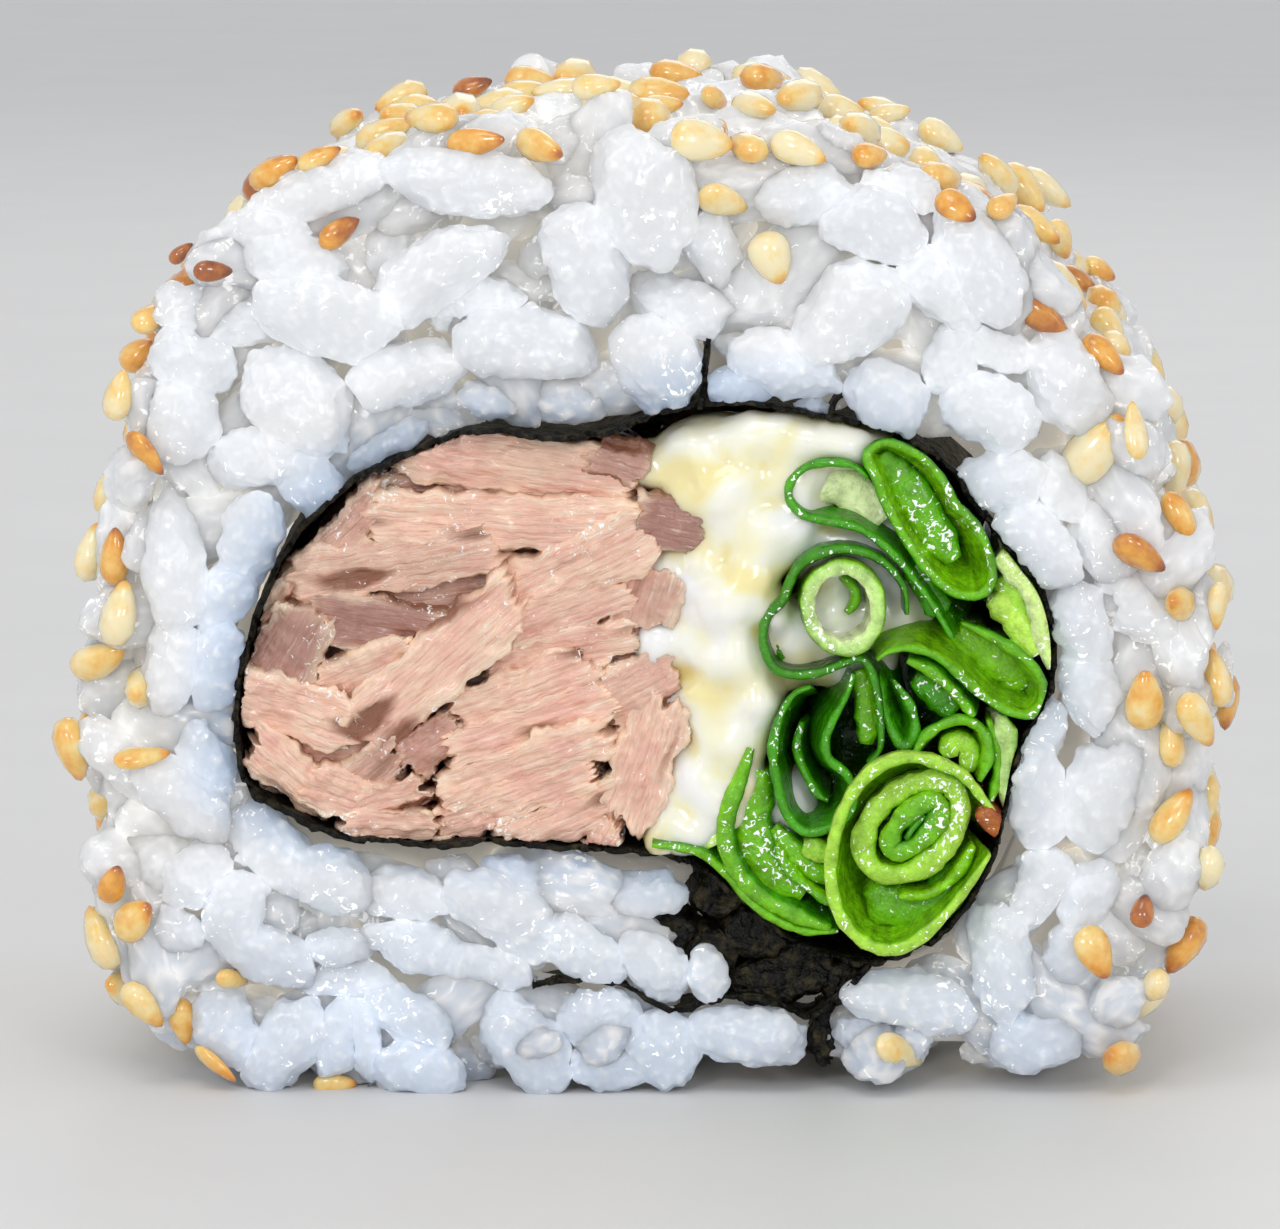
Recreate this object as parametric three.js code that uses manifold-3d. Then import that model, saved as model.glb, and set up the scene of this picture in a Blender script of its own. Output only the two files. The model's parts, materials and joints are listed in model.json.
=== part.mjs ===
// Uramaki: one cut piece of an inside-out sushi roll, resting on its rice with both cut faces upright.
// Rice with sesame seeds lies outside, then a sheet of nori, then tuna, mayonnaise and spring onion.
// Millimetres, +Z up. The roll's axis runs along Y and the shown cut face looks to -Y.
// The origin is the middle of the flat spot that the piece rests on.
import * as THREE from "three";
import { ConvexGeometry } from "three/addons/geometries/ConvexGeometry.js";
import { mergeVertices } from "three/addons/utils/BufferGeometryUtils.js";
import Module from "manifold-3d";

const wasm = await Module();
wasm.setup();

// ---- driving dimensions ----
const rollWidth = 46;
const rollHeight = 40;
const rollDepth = 24; // cut face to cut face
const widestAt = 16.4; // height of the widest place
const pressedBelow = 1.3; // how far the underside is pressed flat
const cornerPower = [2.1, 2.55, 4.3, 3.5]; // squareness: top right, top left, bottom left, bottom right
const rimRadius = 4.2; // rounding where the side meets a cut face

const grain = { length: 6.8, width: 3.0, thickness: 2.6 };
const grainPitch = 5.3; // round the side
const faceGrainPitch = 4.7; // on the cut faces
const grainCover = 1.2; // how far the core between the grains stays under their tops
const seed = { length: 3.1, width: 1.9, thickness: 1.1 };
const seedCount = 56;

const noriThickness = 0.4;
const gap = 0.3; // between touching solids
const fillingDepth = 23; // face to face, a little inside the rice
const onionWall = 0.55;
const onionRecess = 2.4; // depth of the open rings before the bundle's core

// ---- outlines in the cut face, as [x, z] ----
// Middle line of the nori round the filling, anticlockwise seen from the front, from its right end.
const noriLoop = [
  [16.1, 17.9], [15.7, 20.2], [14.4, 22.1], [12.9, 24.0], [11.9, 25.5], [9.9, 26.8], [6.9, 27.5],
  [4.0, 28.0], [1.1, 27.9], [-1.0, 27.2], [-3.0, 26.6], [-5.0, 26.8], [-7.2, 26.9], [-9.2, 26.2],
  [-11.4, 25.2], [-12.8, 24.1], [-14.5, 22.3], [-15.8, 19.6], [-16.6, 16.6], [-16.7, 14.3],
  [-16.3, 12.5], [-14.7, 11.4], [-12.5, 10.4], [-9.8, 10.1], [-6.8, 10.2], [-3.6, 10.0], [-0.4, 9.8],
  [1.7, 9.3], [3.6, 7.9], [5.6, 6.3], [7.9, 5.4], [10.1, 5.7], [12.1, 7.0], [13.5, 9.3], [14.2, 11.6],
  [14.7, 14.0], [15.7, 15.9],
];
// The sheet's outer end: it leaves the loop under the spring onion and runs back under the inner rice.
const noriTail = [
  [9.0, 5.5], [7.6, 4.1], [6.2, 3.1], [4.3, 3.9], [2.4, 3.7], [0.8, 3.4], [-0.8, 4.2], [-2.6, 4.6],
  [-4.9, 4.3],
];
// Where tuna meets mayonnaise, and mayonnaise meets spring onion, from the top down.
const tunaEdge = [
  [-1.2, 29], [-0.6, 25.8], [0.1, 23.0], [-0.3, 20.4], [0.3, 17.8], [0.9, 15.0], [0.3, 12.4],
  [-1.0, 10.6], [-1.4, 8],
];
const onionEdge = [
  [9.0, 29], [7.9, 26.2], [5.8, 25.0], [5.4, 22.6], [4.4, 20.0], [5.3, 17.0], [4.6, 14.0], [2.6, 12.0],
  [0.6, 10.6], [-0.6, 8],
];

// ---- meshes and solids ----

// A closed geometry as a solid that can be joined and cut.
function solidOf(geometry) {
  const bare = geometry.index ? geometry.toNonIndexed() : geometry.clone();
  bare.deleteAttribute("normal");
  bare.deleteAttribute("uv");
  const merged = mergeVertices(bare, 1e-4);
  return new wasm.Manifold(
    new wasm.Mesh({
      numProp: 3,
      vertProperties: merged.attributes.position.array,
      triVerts: new Uint32Array(merged.index.array),
    }),
  );
}

// The largest closed body of a solid, without loose scraps or sealed hollows.
function mainBody(solid) {
  return solid.decompose().reduce((a, b) => (b.volume() > a.volume() ? b : a));
}

function meshOf(solid, name, material) {
  const { vertProperties, triVerts } = solid.getMesh();
  const geometry = new THREE.BufferGeometry();
  geometry.setAttribute("position", new THREE.BufferAttribute(new Float32Array(vertProperties), 3));
  geometry.setIndex(new THREE.BufferAttribute(new Uint32Array(triVerts), 1));
  geometry.computeVertexNormals();
  const mesh = new THREE.Mesh(geometry, material);
  mesh.name = name;
  return mesh;
}

// A shape drawn in X and Z, as a prism between two depths.
function prism(shape, from, to) {
  const geometry = new THREE.ExtrudeGeometry(shape, { depth: to - from, bevelEnabled: false });
  geometry.rotateX(Math.PI / 2);
  geometry.translate(0, to, 0);
  return solidOf(geometry);
}

// Small pieces of few sides, in a unit box: a blunt lump and a seed with a tip. Each ends in one deep point
// below, which is sunk in what it lies on.
const corners = (points) => new ConvexGeometry(points.map((point) => new THREE.Vector3(...point)));
const bothSides = (x, y, z) => [[x, y, z], [x, -y, z]];
const lumpShape = corners([
  [0.52, 0, -0.1], [-0.52, 0, -0.1], ...bothSides(0.3, 0.5, -0.1), ...bothSides(-0.3, 0.5, -0.1),
  ...bothSides(0.3, 0.18, 0.5), ...bothSides(-0.3, 0.18, 0.5), [0, 0, -1.3],
]);
const seedShape = corners([
  [0.5, 0, 0], [-0.5, 0, 0.1], ...bothSides(-0.16, 0.5, 0.1), [-0.1, 0, 0.5], [0, 0, -1.6],
]);

// Such a piece at its size, long along one direction and flat across the normal.
function lump(shape, { length, width, thickness }, centre, along, normal) {
  const across = new THREE.Vector3().crossVectors(normal, along).normalize();
  const up = new THREE.Vector3().crossVectors(along, across).normalize();
  const turned = new THREE.Matrix4().makeBasis(along.clone().normalize(), across, up).setPosition(centre);
  const sized = turned.scale(new THREE.Vector3(length, width, thickness));
  return solidOf(shape.clone().applyMatrix4(sized));
}

// ---- curves in the cut face ----
const vectors = (points) => points.map(([x, z]) => new THREE.Vector2(x, z));
const curve = (points, pieces) => new THREE.SplineCurve(vectors(points)).getSpacedPoints(pieces);

function closedCurve(points, pieces) {
  const spatial = points.map(([x, z]) => new THREE.Vector3(x, z, 0));
  const round = new THREE.CatmullRomCurve3(spatial, true).getSpacedPoints(pieces);
  return round.slice(0, -1).map(({ x, y }) => new THREE.Vector2(x, y));
}

// The same points, each moved sideways to the left of the way the curve runs.
function shifted(points, distance, closed) {
  const last = points.length - 1;
  return points.map((point, i) => {
    const before = points[closed ? (i + last) % points.length : Math.max(i - 1, 0)];
    const after = points[closed ? (i + 1) % points.length : Math.min(i + 1, last)];
    const way = after.clone().sub(before).normalize();
    return new THREE.Vector2(point.x - way.y * distance, point.y + way.x * distance);
  });
}

const loop = closedCurve(noriLoop, 44);
const tail = curve(noriTail, 10);
const grown = (points, distance) => shifted(points, -distance, true); // the loop runs anticlockwise

function strip(points, half) {
  return new THREE.Shape([...shifted(points, half), ...shifted(points, -half).reverse()]);
}

function ring(points, half) {
  const shape = new THREE.Shape(grown(points, half));
  shape.holes.push(new THREE.Path(grown(points, -half)));
  return shape;
}

// ---- the roll's outside ----
function outlinePoint(angle, inset) {
  const [c, s] = [Math.cos(angle), Math.sin(angle)];
  const power = cornerPower[s >= 0 ? (c >= 0 ? 0 : 1) : c < 0 ? 2 : 3];
  const reach = (s < 0 ? widestAt + pressedBelow : rollHeight - widestAt) - inset;
  const radius = (Math.abs(c) ** power + Math.abs(s) ** power) ** (-1 / power);
  return new THREE.Vector2((rollWidth / 2 - inset) * radius * c, widestAt + reach * radius * s);
}

function outlineNormal(angle, inset) {
  const way = outlinePoint(angle + 0.01, inset).sub(outlinePoint(angle - 0.01, inset)).normalize();
  return new THREE.Vector2(way.y, -way.x);
}

// The length run along the outline at each of many equal steps of its angle.
const outlineSteps = 360;

function runLengths(inset) {
  const at = (step) => outlinePoint((step / outlineSteps) * 2 * Math.PI, inset);
  const lengths = [0];
  for (let i = 1; i <= outlineSteps; i++) lengths.push(lengths[i - 1] + at(i).distanceTo(at(i - 1)));
  return lengths;
}

const girth = (inset) => runLengths(inset)[outlineSteps];

// Angles that stand evenly along the outline, however many are asked for.
function evenAngles(count, inset, turn = 0) {
  const lengths = runLengths(inset);
  return Array.from({ length: count }, (_, k) => {
    const wanted = (((k + turn) / count) % 1) * lengths[outlineSteps];
    return (lengths.findIndex((length) => length >= wanted) / outlineSteps) * 2 * Math.PI;
  });
}

// The side, by the distance from the front cut face round its rim, along the roll and round the back rim.
const rimLength = (rimRadius * Math.PI) / 2;
const straight = rollDepth - 2 * rimRadius;
const sideLength = straight + 2 * rimLength;

function sideAt(distance) {
  const end = distance > sideLength / 2 ? 1 : -1;
  const turned = Math.min(distance, sideLength - distance, rimLength) / rimRadius;
  const onRim = end * (straight / 2 + rimRadius * Math.cos(turned));
  const betweenRims = distance > rimLength && distance < sideLength - rimLength;
  return {
    depth: betweenRims ? distance - sideLength / 2 : onRim,
    inset: rimRadius * (1 - Math.sin(turned)),
    outward: Math.sin(turned),
    towards: end * Math.cos(turned),
  };
}

// ---- rice: a core with grains and sesame seeds ----
function riceCore() {
  const around = 28;
  const stations = [0, 0.4, 1].map((share) => share * rimLength);
  const rows = [...stations, ...stations.map((distance) => sideLength - distance).reverse()];
  const shrink = (rollDepth - 2 * grainCover) / rollDepth;
  const [positions, faces] = [[], []];
  for (const distance of rows) {
    const { depth, inset } = sideAt(distance);
    for (let i = 0; i < around; i++) {
      const { x, y: z } = outlinePoint((i / around) * 2 * Math.PI, inset + grainCover);
      positions.push(x, depth * shrink, z);
    }
  }
  for (let r = 0; r + 1 < rows.length; r++)
    for (let i = 0; i < around; i++) {
      const [a, b] = [r * around + i, r * around + ((i + 1) % around)];
      faces.push(a, b + around, b, a, a + around, b + around);
    }
  const end = (rows.length - 1) * around;
  for (let i = 1; i + 1 < around; i++) faces.push(0, i, i + 1, end, end + i + 1, end + i);
  const geometry = new THREE.BufferGeometry();
  geometry.setAttribute("position", new THREE.BufferAttribute(new Float32Array(positions), 3));
  geometry.setIndex(faces);
  return solidOf(geometry);
}

THREE.MathUtils.seededRandom(20);
const random = () => THREE.MathUtils.seededRandom();
const spread = (amount) => (random() - 0.5) * 2 * amount;

function sidePlace(angle, distance) {
  const { depth, inset, outward, towards } = sideAt(distance);
  const point = outlinePoint(angle, inset);
  const normal = outlineNormal(angle, inset);
  const direction = new THREE.Vector3(normal.x * outward, towards, normal.y * outward);
  return { surface: new THREE.Vector3(point.x, depth, point.y), outward: direction };
}

function facePlace(point, side) {
  const surface = new THREE.Vector3(point.x, (side * rollDepth) / 2, point.y);
  return { surface, outward: new THREE.Vector3(0, side, 0) };
}

// A grain or seed that lies on the envelope. Of a few places and turns it takes the one with most room.
const laid = [];
const placesTried = 24;
const lineShares = [0, 0.25, -0.25, 0.48, -0.48]; // points along a piece's middle line

function laidOn(shape, size, sink, placeAt) {
  const tries = Array.from({ length: placesTried }, () => {
    const { surface, outward } = placeAt();
    const helper = Math.abs(outward.y) > 0.7 ? new THREE.Vector3(1, 0, 0) : new THREE.Vector3(0, 1, 0);
    const flat = new THREE.Vector3().crossVectors(outward, helper).normalize();
    const along = flat.applyAxisAngle(outward, random() * Math.PI);
    const centre = surface.clone().addScaledVector(outward, -sink);
    const ends = lineShares.map((share) => centre.clone().addScaledVector(along, share * size.length));
    const room = Math.min(...ends.flatMap((end) => laid.map((other) => other.distanceTo(end))));
    return { centre, along, outward, ends, room };
  });
  const { centre, along, outward, ends } = tries.reduce((a, b) => (b.room > a.room ? b : a));
  laid.push(...ends);
  along.addScaledVector(outward, spread(0.2)).normalize();
  return lump(shape, size, centre, along, outward);
}

function sideGrains() {
  const rows = Math.round(sideLength / grainPitch);
  const grains = [];
  for (let row = 0; row < rows; row++) {
    const distance = ((row + 0.5) / rows) * sideLength;
    const { inset } = sideAt(distance);
    const angles = evenAngles(Math.round(girth(inset) / grainPitch), inset, (row % 2) / 2);
    for (const angle of angles) {
      const placeAt = () => sidePlace(angle + spread(0.06), distance + spread(1.6));
      grains.push(laidOn(lumpShape, grain, grain.thickness / 2 + spread(0.25), placeAt));
    }
  }
  return grains;
}

const nearest = (point, points) => Math.min(...points.map((other) => other.distanceTo(point)));

function inside(point, points) {
  let odd = false;
  points.forEach((a, i) => {
    const b = points[(i + 1) % points.length];
    const crosses = a.y > point.y !== b.y > point.y;
    if (crosses && point.x < a.x + ((point.y - a.y) / (b.y - a.y)) * (b.x - a.x)) odd = !odd;
  });
  return odd;
}

function faceGrains(side) {
  const rim = evenAngles(48, rimRadius).map((angle) => outlinePoint(angle, rimRadius - 0.5));
  const grains = [];
  for (let z = 1.6, row = 0; z < rollHeight; z += faceGrainPitch * 0.87, row++)
    for (let x = ((row % 2) * faceGrainPitch) / 2 - rollWidth / 2; x < rollWidth / 2; x += faceGrainPitch) {
      const point = new THREE.Vector2(x, z);
      if (!inside(point, rim) || inside(point, loop) || nearest(point, loop) < 1.2) continue;
      const placeAt = () => facePlace(new THREE.Vector2(x + spread(1), z + spread(1)), side);
      grains.push(laidOn(lumpShape, grain, grain.thickness / 2 + spread(0.3), placeAt));
    }
  return grains;
}

// Seeds by a golden-ratio rule over the side, which spreads any number of them evenly.
function sesameSeeds() {
  const golden = (Math.sqrt(5) - 1) / 2;
  const angles = evenAngles(seedCount * 4, 0);
  return Array.from({ length: seedCount }, (_, k) => {
    const angle = angles[Math.floor(((k * golden) % 1) * angles.length)];
    const distance = sideLength * (0.1 + (0.8 * (k + 0.5)) / seedCount);
    const placeAt = () => sidePlace(angle + spread(0.05), distance + spread(0.5));
    return laidOn(seedShape, seed, seed.thickness * 0.25, placeAt);
  });
}

function rice() {
  const size = 3 * rollWidth;
  const above = new THREE.BoxGeometry(size, size, size).translate(0, 0, size / 2);
  const clear = noriThickness / 2 + gap;
  const cut = wasm.Manifold.union([
    prism(new THREE.Shape(grown(loop, clear)), -rollDepth, rollDepth),
    prism(strip(tail, clear), -rollDepth, rollDepth),
  ]);
  const grains = [...sideGrains(), ...faceGrains(-1), ...faceGrains(1)];
  const heap = wasm.Manifold.union([riceCore(), ...grains, ...sesameSeeds()]);
  return mainBody(heap.subtract(cut).intersect(solidOf(above)));
}

// ---- nori: one sheet round the filling, its outer end tucked into the rice ----
function nori() {
  const half = noriThickness / 2;
  const depth = rollDepth / 2 - 0.2;
  return mainBody(prism(ring(loop, half), -depth, depth).add(prism(strip(tail, half), -depth, depth)));
}

// ---- fillings, each a share of the space inside the nori ----
const faceDepth = fillingDepth / 2;
const inner = grown(loop, -noriThickness / 2 - gap);
const wall = 2 * rollWidth;

// The part of that space between two edges that run from top to bottom.
function share(left, right, deep) {
  const between = new THREE.Shape([...left, ...[...right].reverse()]);
  return prism(new THREE.Shape(inner), -deep, deep).intersect(prism(between, -wall, wall));
}

const farLeft = vectors([[-wall, wall], [-wall, -wall]]);
const farRight = vectors([[wall, wall], [wall, -wall]]);
// The edges run downwards, so their left is the +X side.
const tunaSide = shifted(curve(tunaEdge, 14), -gap / 2);
const mayoLeft = shifted(curve(tunaEdge, 14), gap / 2);
const mayoRight = shifted(curve(onionEdge, 14), -gap / 2);
const onionSide = shifted(curve(onionEdge, 14), gap / 2);

// Flakes of cooked tuna: [x, z, length, width, turn in degrees], as they show in the cut.
const tunaFlakes = [
  [-5.4, 24.8, 9.5, 3.0, -4], [-7.6, 22.4, 12.0, 2.8, 10], [-3.0, 20.2, 7.5, 3.4, 30],
  [-9.8, 19.6, 9.0, 3.0, 10], [-13.8, 18.0, 5.0, 3.4, 70], [-8.6, 16.4, 10.0, 2.6, 42],
  [-3.8, 17.0, 7.5, 2.4, 24], [-4.2, 14.4, 9.0, 2.8, 20], [-4.0, 12.0, 8.5, 2.4, 18],
  [-13.2, 14.6, 6.0, 2.8, -14], [-11.2, 12.0, 6.5, 2.2, -20], [-0.4, 13.4, 5.0, 2.2, 65],
];
const flakeDepth = 2.4;

// A lump that lies in both cut faces, with its top at their depth.
function onFaces({ x, z, turn = 0, ...size }) {
  const angle = THREE.MathUtils.degToRad(turn);
  const along = new THREE.Vector3(Math.cos(angle), 0, Math.sin(angle));
  return [-1, 1].map((side) => {
    const centre = new THREE.Vector3(x, side * (faceDepth - size.thickness / 2), z);
    return lump(lumpShape, size, centre, along, new THREE.Vector3(0, side, 0));
  });
}

function tuna() {
  const flakes = tunaFlakes.flatMap(([x, z, length, width, turn]) =>
    onFaces({ x, z, turn, length, width, thickness: flakeDepth }),
  );
  const body = wasm.Manifold.union([share(farLeft, tunaSide, faceDepth - flakeDepth * 0.6), ...flakes]);
  return mainBody(body.intersect(share(farLeft, tunaSide, rollDepth)));
}

// Soft swells of mayonnaise on each face: [x, z, across].
const mayoSwells = [
  [3.2, 25.6, 5.6], [1.8, 22.6, 4.6], [3.2, 19.8, 5.0], [2.8, 16.6, 5.2], [1.8, 13.2, 5.0],
];
const swellDepth = 2.2;

function mayonnaise() {
  const swells = mayoSwells.flatMap(([x, z, across]) =>
    onFaces({ x, z, length: across, width: across, thickness: swellDepth }),
  );
  const body = wasm.Manifold.union([share(mayoLeft, mayoRight, faceDepth - swellDepth * 0.4), ...swells]);
  return mainBody(body.intersect(share(mayoLeft, mayoRight, rollDepth)));
}

// Cut rings of spring onion, as middle lines of their walls: [x, z, length, width, turn in degrees].
const onionRings = [
  [7.8, 19.9, 4.4, 4.2, 0], [8.2, 24.6, 4.6, 2.4, 35], [12.2, 23.0, 6.2, 2.6, -60],
  [6.9, 14.4, 6.0, 3.0, 70], [11.9, 17.9, 6.4, 2.4, -35], [10.4, 10.2, 7.2, 6.0, 50],
  [10.6, 10.6, 3.6, 2.4, 50], [6.2, 9.6, 6.4, 2.2, -55], [13.6, 13.4, 4.0, 1.9, 80],
];

const ringSides = 10;

function ellipse([x, z, length, width, turn]) {
  return Array.from({ length: ringSides }, (_, i) => {
    const angle = (i / ringSides) * 2 * Math.PI;
    const point = new THREE.Vector2((length / 2) * Math.cos(angle), (width / 2) * Math.sin(angle));
    point.rotateAround(new THREE.Vector2(), THREE.MathUtils.degToRad(turn));
    return point.add(new THREE.Vector2(x, z));
  });
}

function springOnion() {
  const core = share(onionSide, farRight, faceDepth - onionRecess);
  const rings = onionRings.map((size) => prism(ring(ellipse(size), onionWall / 2), -faceDepth, faceDepth));
  const body = wasm.Manifold.union([core, ...rings]);
  return mainBody(body.intersect(share(onionSide, farRight, rollDepth)));
}

// ---- materials ----
const material = (color, roughness) => new THREE.MeshStandardMaterial({ color, roughness, metalness: 0 });
const riceWhite = material(0xe4e8ea, 0.3);
const noriBlack = material(0x1c1f14, 0.45);
const tunaPink = material(0xcfa38d, 0.5);
const mayoCream = material(0xf6f0cc, 0.25);
const onionGreen = material(0x5c9a22, 0.35);

const uramaki = new THREE.Group();
uramaki.add(
  meshOf(rice(), "rice", riceWhite),
  meshOf(nori(), "nori", noriBlack),
  meshOf(tuna(), "tuna", tunaPink),
  meshOf(mayonnaise(), "mayonnaise", mayoCream),
  meshOf(springOnion(), "spring_onion", onionGreen),
);

export default uramaki;
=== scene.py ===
import json
import math

import bmesh
import bpy
import numpy as np
from mathutils import Matrix, Vector, noise
from mathutils.bvhtree import BVHTree

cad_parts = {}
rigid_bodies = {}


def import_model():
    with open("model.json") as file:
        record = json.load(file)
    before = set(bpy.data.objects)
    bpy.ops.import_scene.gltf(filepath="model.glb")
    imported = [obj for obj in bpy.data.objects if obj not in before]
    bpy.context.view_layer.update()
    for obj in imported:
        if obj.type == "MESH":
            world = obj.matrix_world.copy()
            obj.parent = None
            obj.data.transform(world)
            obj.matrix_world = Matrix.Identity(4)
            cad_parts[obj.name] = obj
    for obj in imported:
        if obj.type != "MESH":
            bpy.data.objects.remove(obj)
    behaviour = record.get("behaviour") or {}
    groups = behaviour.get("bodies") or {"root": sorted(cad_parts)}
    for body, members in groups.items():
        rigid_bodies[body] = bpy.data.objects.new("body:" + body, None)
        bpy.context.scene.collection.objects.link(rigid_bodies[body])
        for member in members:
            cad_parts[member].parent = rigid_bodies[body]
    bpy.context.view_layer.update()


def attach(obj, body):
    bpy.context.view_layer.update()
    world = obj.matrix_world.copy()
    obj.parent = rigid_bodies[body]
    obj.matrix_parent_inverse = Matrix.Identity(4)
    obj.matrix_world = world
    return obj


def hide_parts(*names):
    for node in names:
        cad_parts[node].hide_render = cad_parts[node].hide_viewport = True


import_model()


# ---------------------------------------------------------------- camera
# A long lens looks level-ish at the cut face, a little from above and from the right. Lengths in
# this file are millimetres until a mesh is made. Picture points are counted from the top left.
mm = 0.001
tau = math.tau
picture_width, picture_height = 1280, 1229
sensor, lens = 36.0, 211.0
look_down, look_aside = math.radians(9.0), math.radians(1.5)
aim = Vector((-0.48, -12.0, 19.57))
sight_back = Vector((
    math.sin(look_aside) * math.cos(look_down),
    -math.cos(look_aside) * math.cos(look_down),
    math.sin(look_down),
))
eye_distance = 300.0
eye = aim + sight_back * eye_distance
eye_turn = (-sight_back).to_track_quat("-Z", "Y")

camera = bpy.data.objects.new("camera", bpy.data.cameras.new("camera"))
camera.data.lens = lens
camera.data.sensor_width = sensor
camera.data.clip_start = 0.01
camera.data.clip_end = 20.0
camera.location = eye * mm
camera.rotation_mode = "QUATERNION"
camera.rotation_quaternion = eye_turn
bpy.context.scene.collection.objects.link(camera)
bpy.context.scene.camera = camera


def sight(across, down):
    """Direction of the line of sight through a picture point."""
    x = (across - picture_width / 2) / picture_width * sensor / lens
    y = (picture_height / 2 - down) / picture_width * sensor / lens
    return (eye_turn @ Vector((x, y, -1.0))).normalized()


def seen_at(across, down, depth=-12.0):
    """Where the line of sight through a picture point meets the upright plane at this depth."""
    line = sight(across, down)
    return np.array(eye + line * ((depth - eye.y) / line.y))


# ---------------------------------------------------------------- floor and light
# A plain pale floor under square studio lights: a broad one above and in front, a fill from each
# side, one from behind that rims the grains, and two smaller ones that make the wet glints.
floor_reach = 3


def put(name, mesh):
    """A new object of this mesh at the origin."""
    thing = bpy.data.objects.new(name, mesh)
    bpy.context.scene.collection.objects.link(thing)
    return thing


def finish_named(name, **settings):
    """A new material, its node tree and its shader with these sockets set."""
    made = bpy.data.materials.new(name)
    made.use_nodes = True
    made.cycles.emission_sampling = "NONE"
    shader = made.node_tree.nodes["Principled BSDF"]
    for socket, value in settings.items():
        shader.inputs[socket.replace("_", " ")].default_value = value
    return made, made.node_tree, shader


def node(tree, kind, **settings):
    """A new node, its properties set by name and its inputs by the names that start with in_."""
    made = tree.nodes.new(kind)
    for key, value in settings.items():
        if key.startswith("in_"):
            made.inputs[int(key[3:])].default_value = value
        else:
            setattr(made, key, value)
    return made


floor_finish, tree, shader = finish_named("pale_floor", Roughness=0.55)
speck = node(tree, "ShaderNodeTexNoise", in_2=90.0, in_3=3.0)
tint = node(tree, "ShaderNodeValToRGB")
tint.color_ramp.elements[0].color = (0.74, 0.735, 0.73, 1)
tint.color_ramp.elements[1].color = (0.79, 0.785, 0.78, 1)
where = node(tree, "ShaderNodeTexCoord")
tree.links.new(where.outputs["Object"], speck.inputs["Vector"])
tree.links.new(speck.outputs["Fac"], tint.inputs["Fac"])
tree.links.new(tint.outputs["Color"], shader.inputs["Base Color"])
floor_mesh = bpy.data.meshes.new("floor")
floor_corners = [(x * floor_reach, y * floor_reach, 0) for x, y in ((-1, -1), (1, -1), (1, 1), (-1, 1))]
floor_mesh.from_pydata(floor_corners, [], [(0, 1, 2, 3)])
floor_mesh.materials.append(floor_finish)
put("floor", floor_mesh)


roll_middle = (0, 0, 20)


def light(name, place, size, power):
    """A square light of this size that looks at the middle of the roll."""
    lamp = bpy.data.lights.new(name, "AREA")
    lamp.size = size * mm
    lamp.energy = power
    thing = bpy.data.objects.new(name, lamp)
    thing.location = Vector(place) * mm
    toward = Vector(roll_middle) - Vector(place)
    thing.rotation_mode = "QUATERNION"
    thing.rotation_quaternion = toward.to_track_quat("-Z", "Y")
    bpy.context.scene.collection.objects.link(thing)


light("above", (-60, -150, 310), 110, 0.13)
light("left", (-330, -150, 120), 120, 0.05)
light("right", (330, -130, 150), 120, 0.05)
light("behind", (40, 300, 230), 220, 0.14)
light("glint_left", (-90, -300, 150), 60, 0.2)
light("glint_right", (120, -300, 140), 60, 0.12)

world = bpy.data.worlds.new("studio")
world.use_nodes = True
world.node_tree.nodes["Background"].inputs["Color"].default_value = (0.97, 0.98, 1.0, 1)
world.node_tree.nodes["Background"].inputs["Strength"].default_value = 0.68
bpy.context.scene.world = world
bpy.context.scene.view_settings.view_transform = "Standard"
light_paths = bpy.context.scene.cycles
light_paths.max_bounces, light_paths.diffuse_bounces, light_paths.glossy_bounces = 5, 3, 2


# ---------------------------------------------------------------- rice
# Cooked short-grain rice, pressed by a mat into a thick ring around the sheet of seaweed. Every
# grain is a plump blunt spindle with its own closed skin; where wet grains touch they stick and
# overlap.
roll_width, roll_height = 46.0, 40.0
most_forward, most_aside = 13.3, 24.0
widest_at, pressed_below = 16.4, 1.3
corner_power = [2.1, 2.55, 4.3, 3.5]
seaweed_line = [
    (16.1, 17.9), (15.7, 20.2), (14.4, 22.1), (12.9, 24.0), (11.9, 25.5), (9.9, 26.8), (6.9, 27.5),
    (4.0, 28.0), (1.1, 27.9), (-1.0, 27.2), (-3.0, 26.6), (-5.0, 26.8), (-7.2, 26.9), (-9.2, 26.2),
    (-11.4, 25.2), (-12.8, 24.1), (-14.5, 22.3), (-15.8, 19.6), (-16.6, 16.6), (-16.7, 14.3),
    (-16.3, 12.5), (-14.7, 11.4), (-12.5, 10.4), (-9.8, 10.1), (-6.8, 10.2), (-3.6, 10.0),
    (-0.4, 9.8), (1.7, 9.3), (3.6, 7.9), (5.6, 6.3), (7.9, 5.4), (10.1, 5.7), (12.1, 7.0),
    (13.5, 9.3), (14.2, 11.6), (14.7, 14.0), (15.7, 15.9),
]
seaweed_end = [
    (9.0, 5.5), (7.6, 4.1), (6.2, 3.1), (4.3, 3.9), (2.4, 3.7), (0.8, 3.4), (-0.8, 4.2), (-2.6, 4.6),
    (-4.9, 4.3),
]


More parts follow.
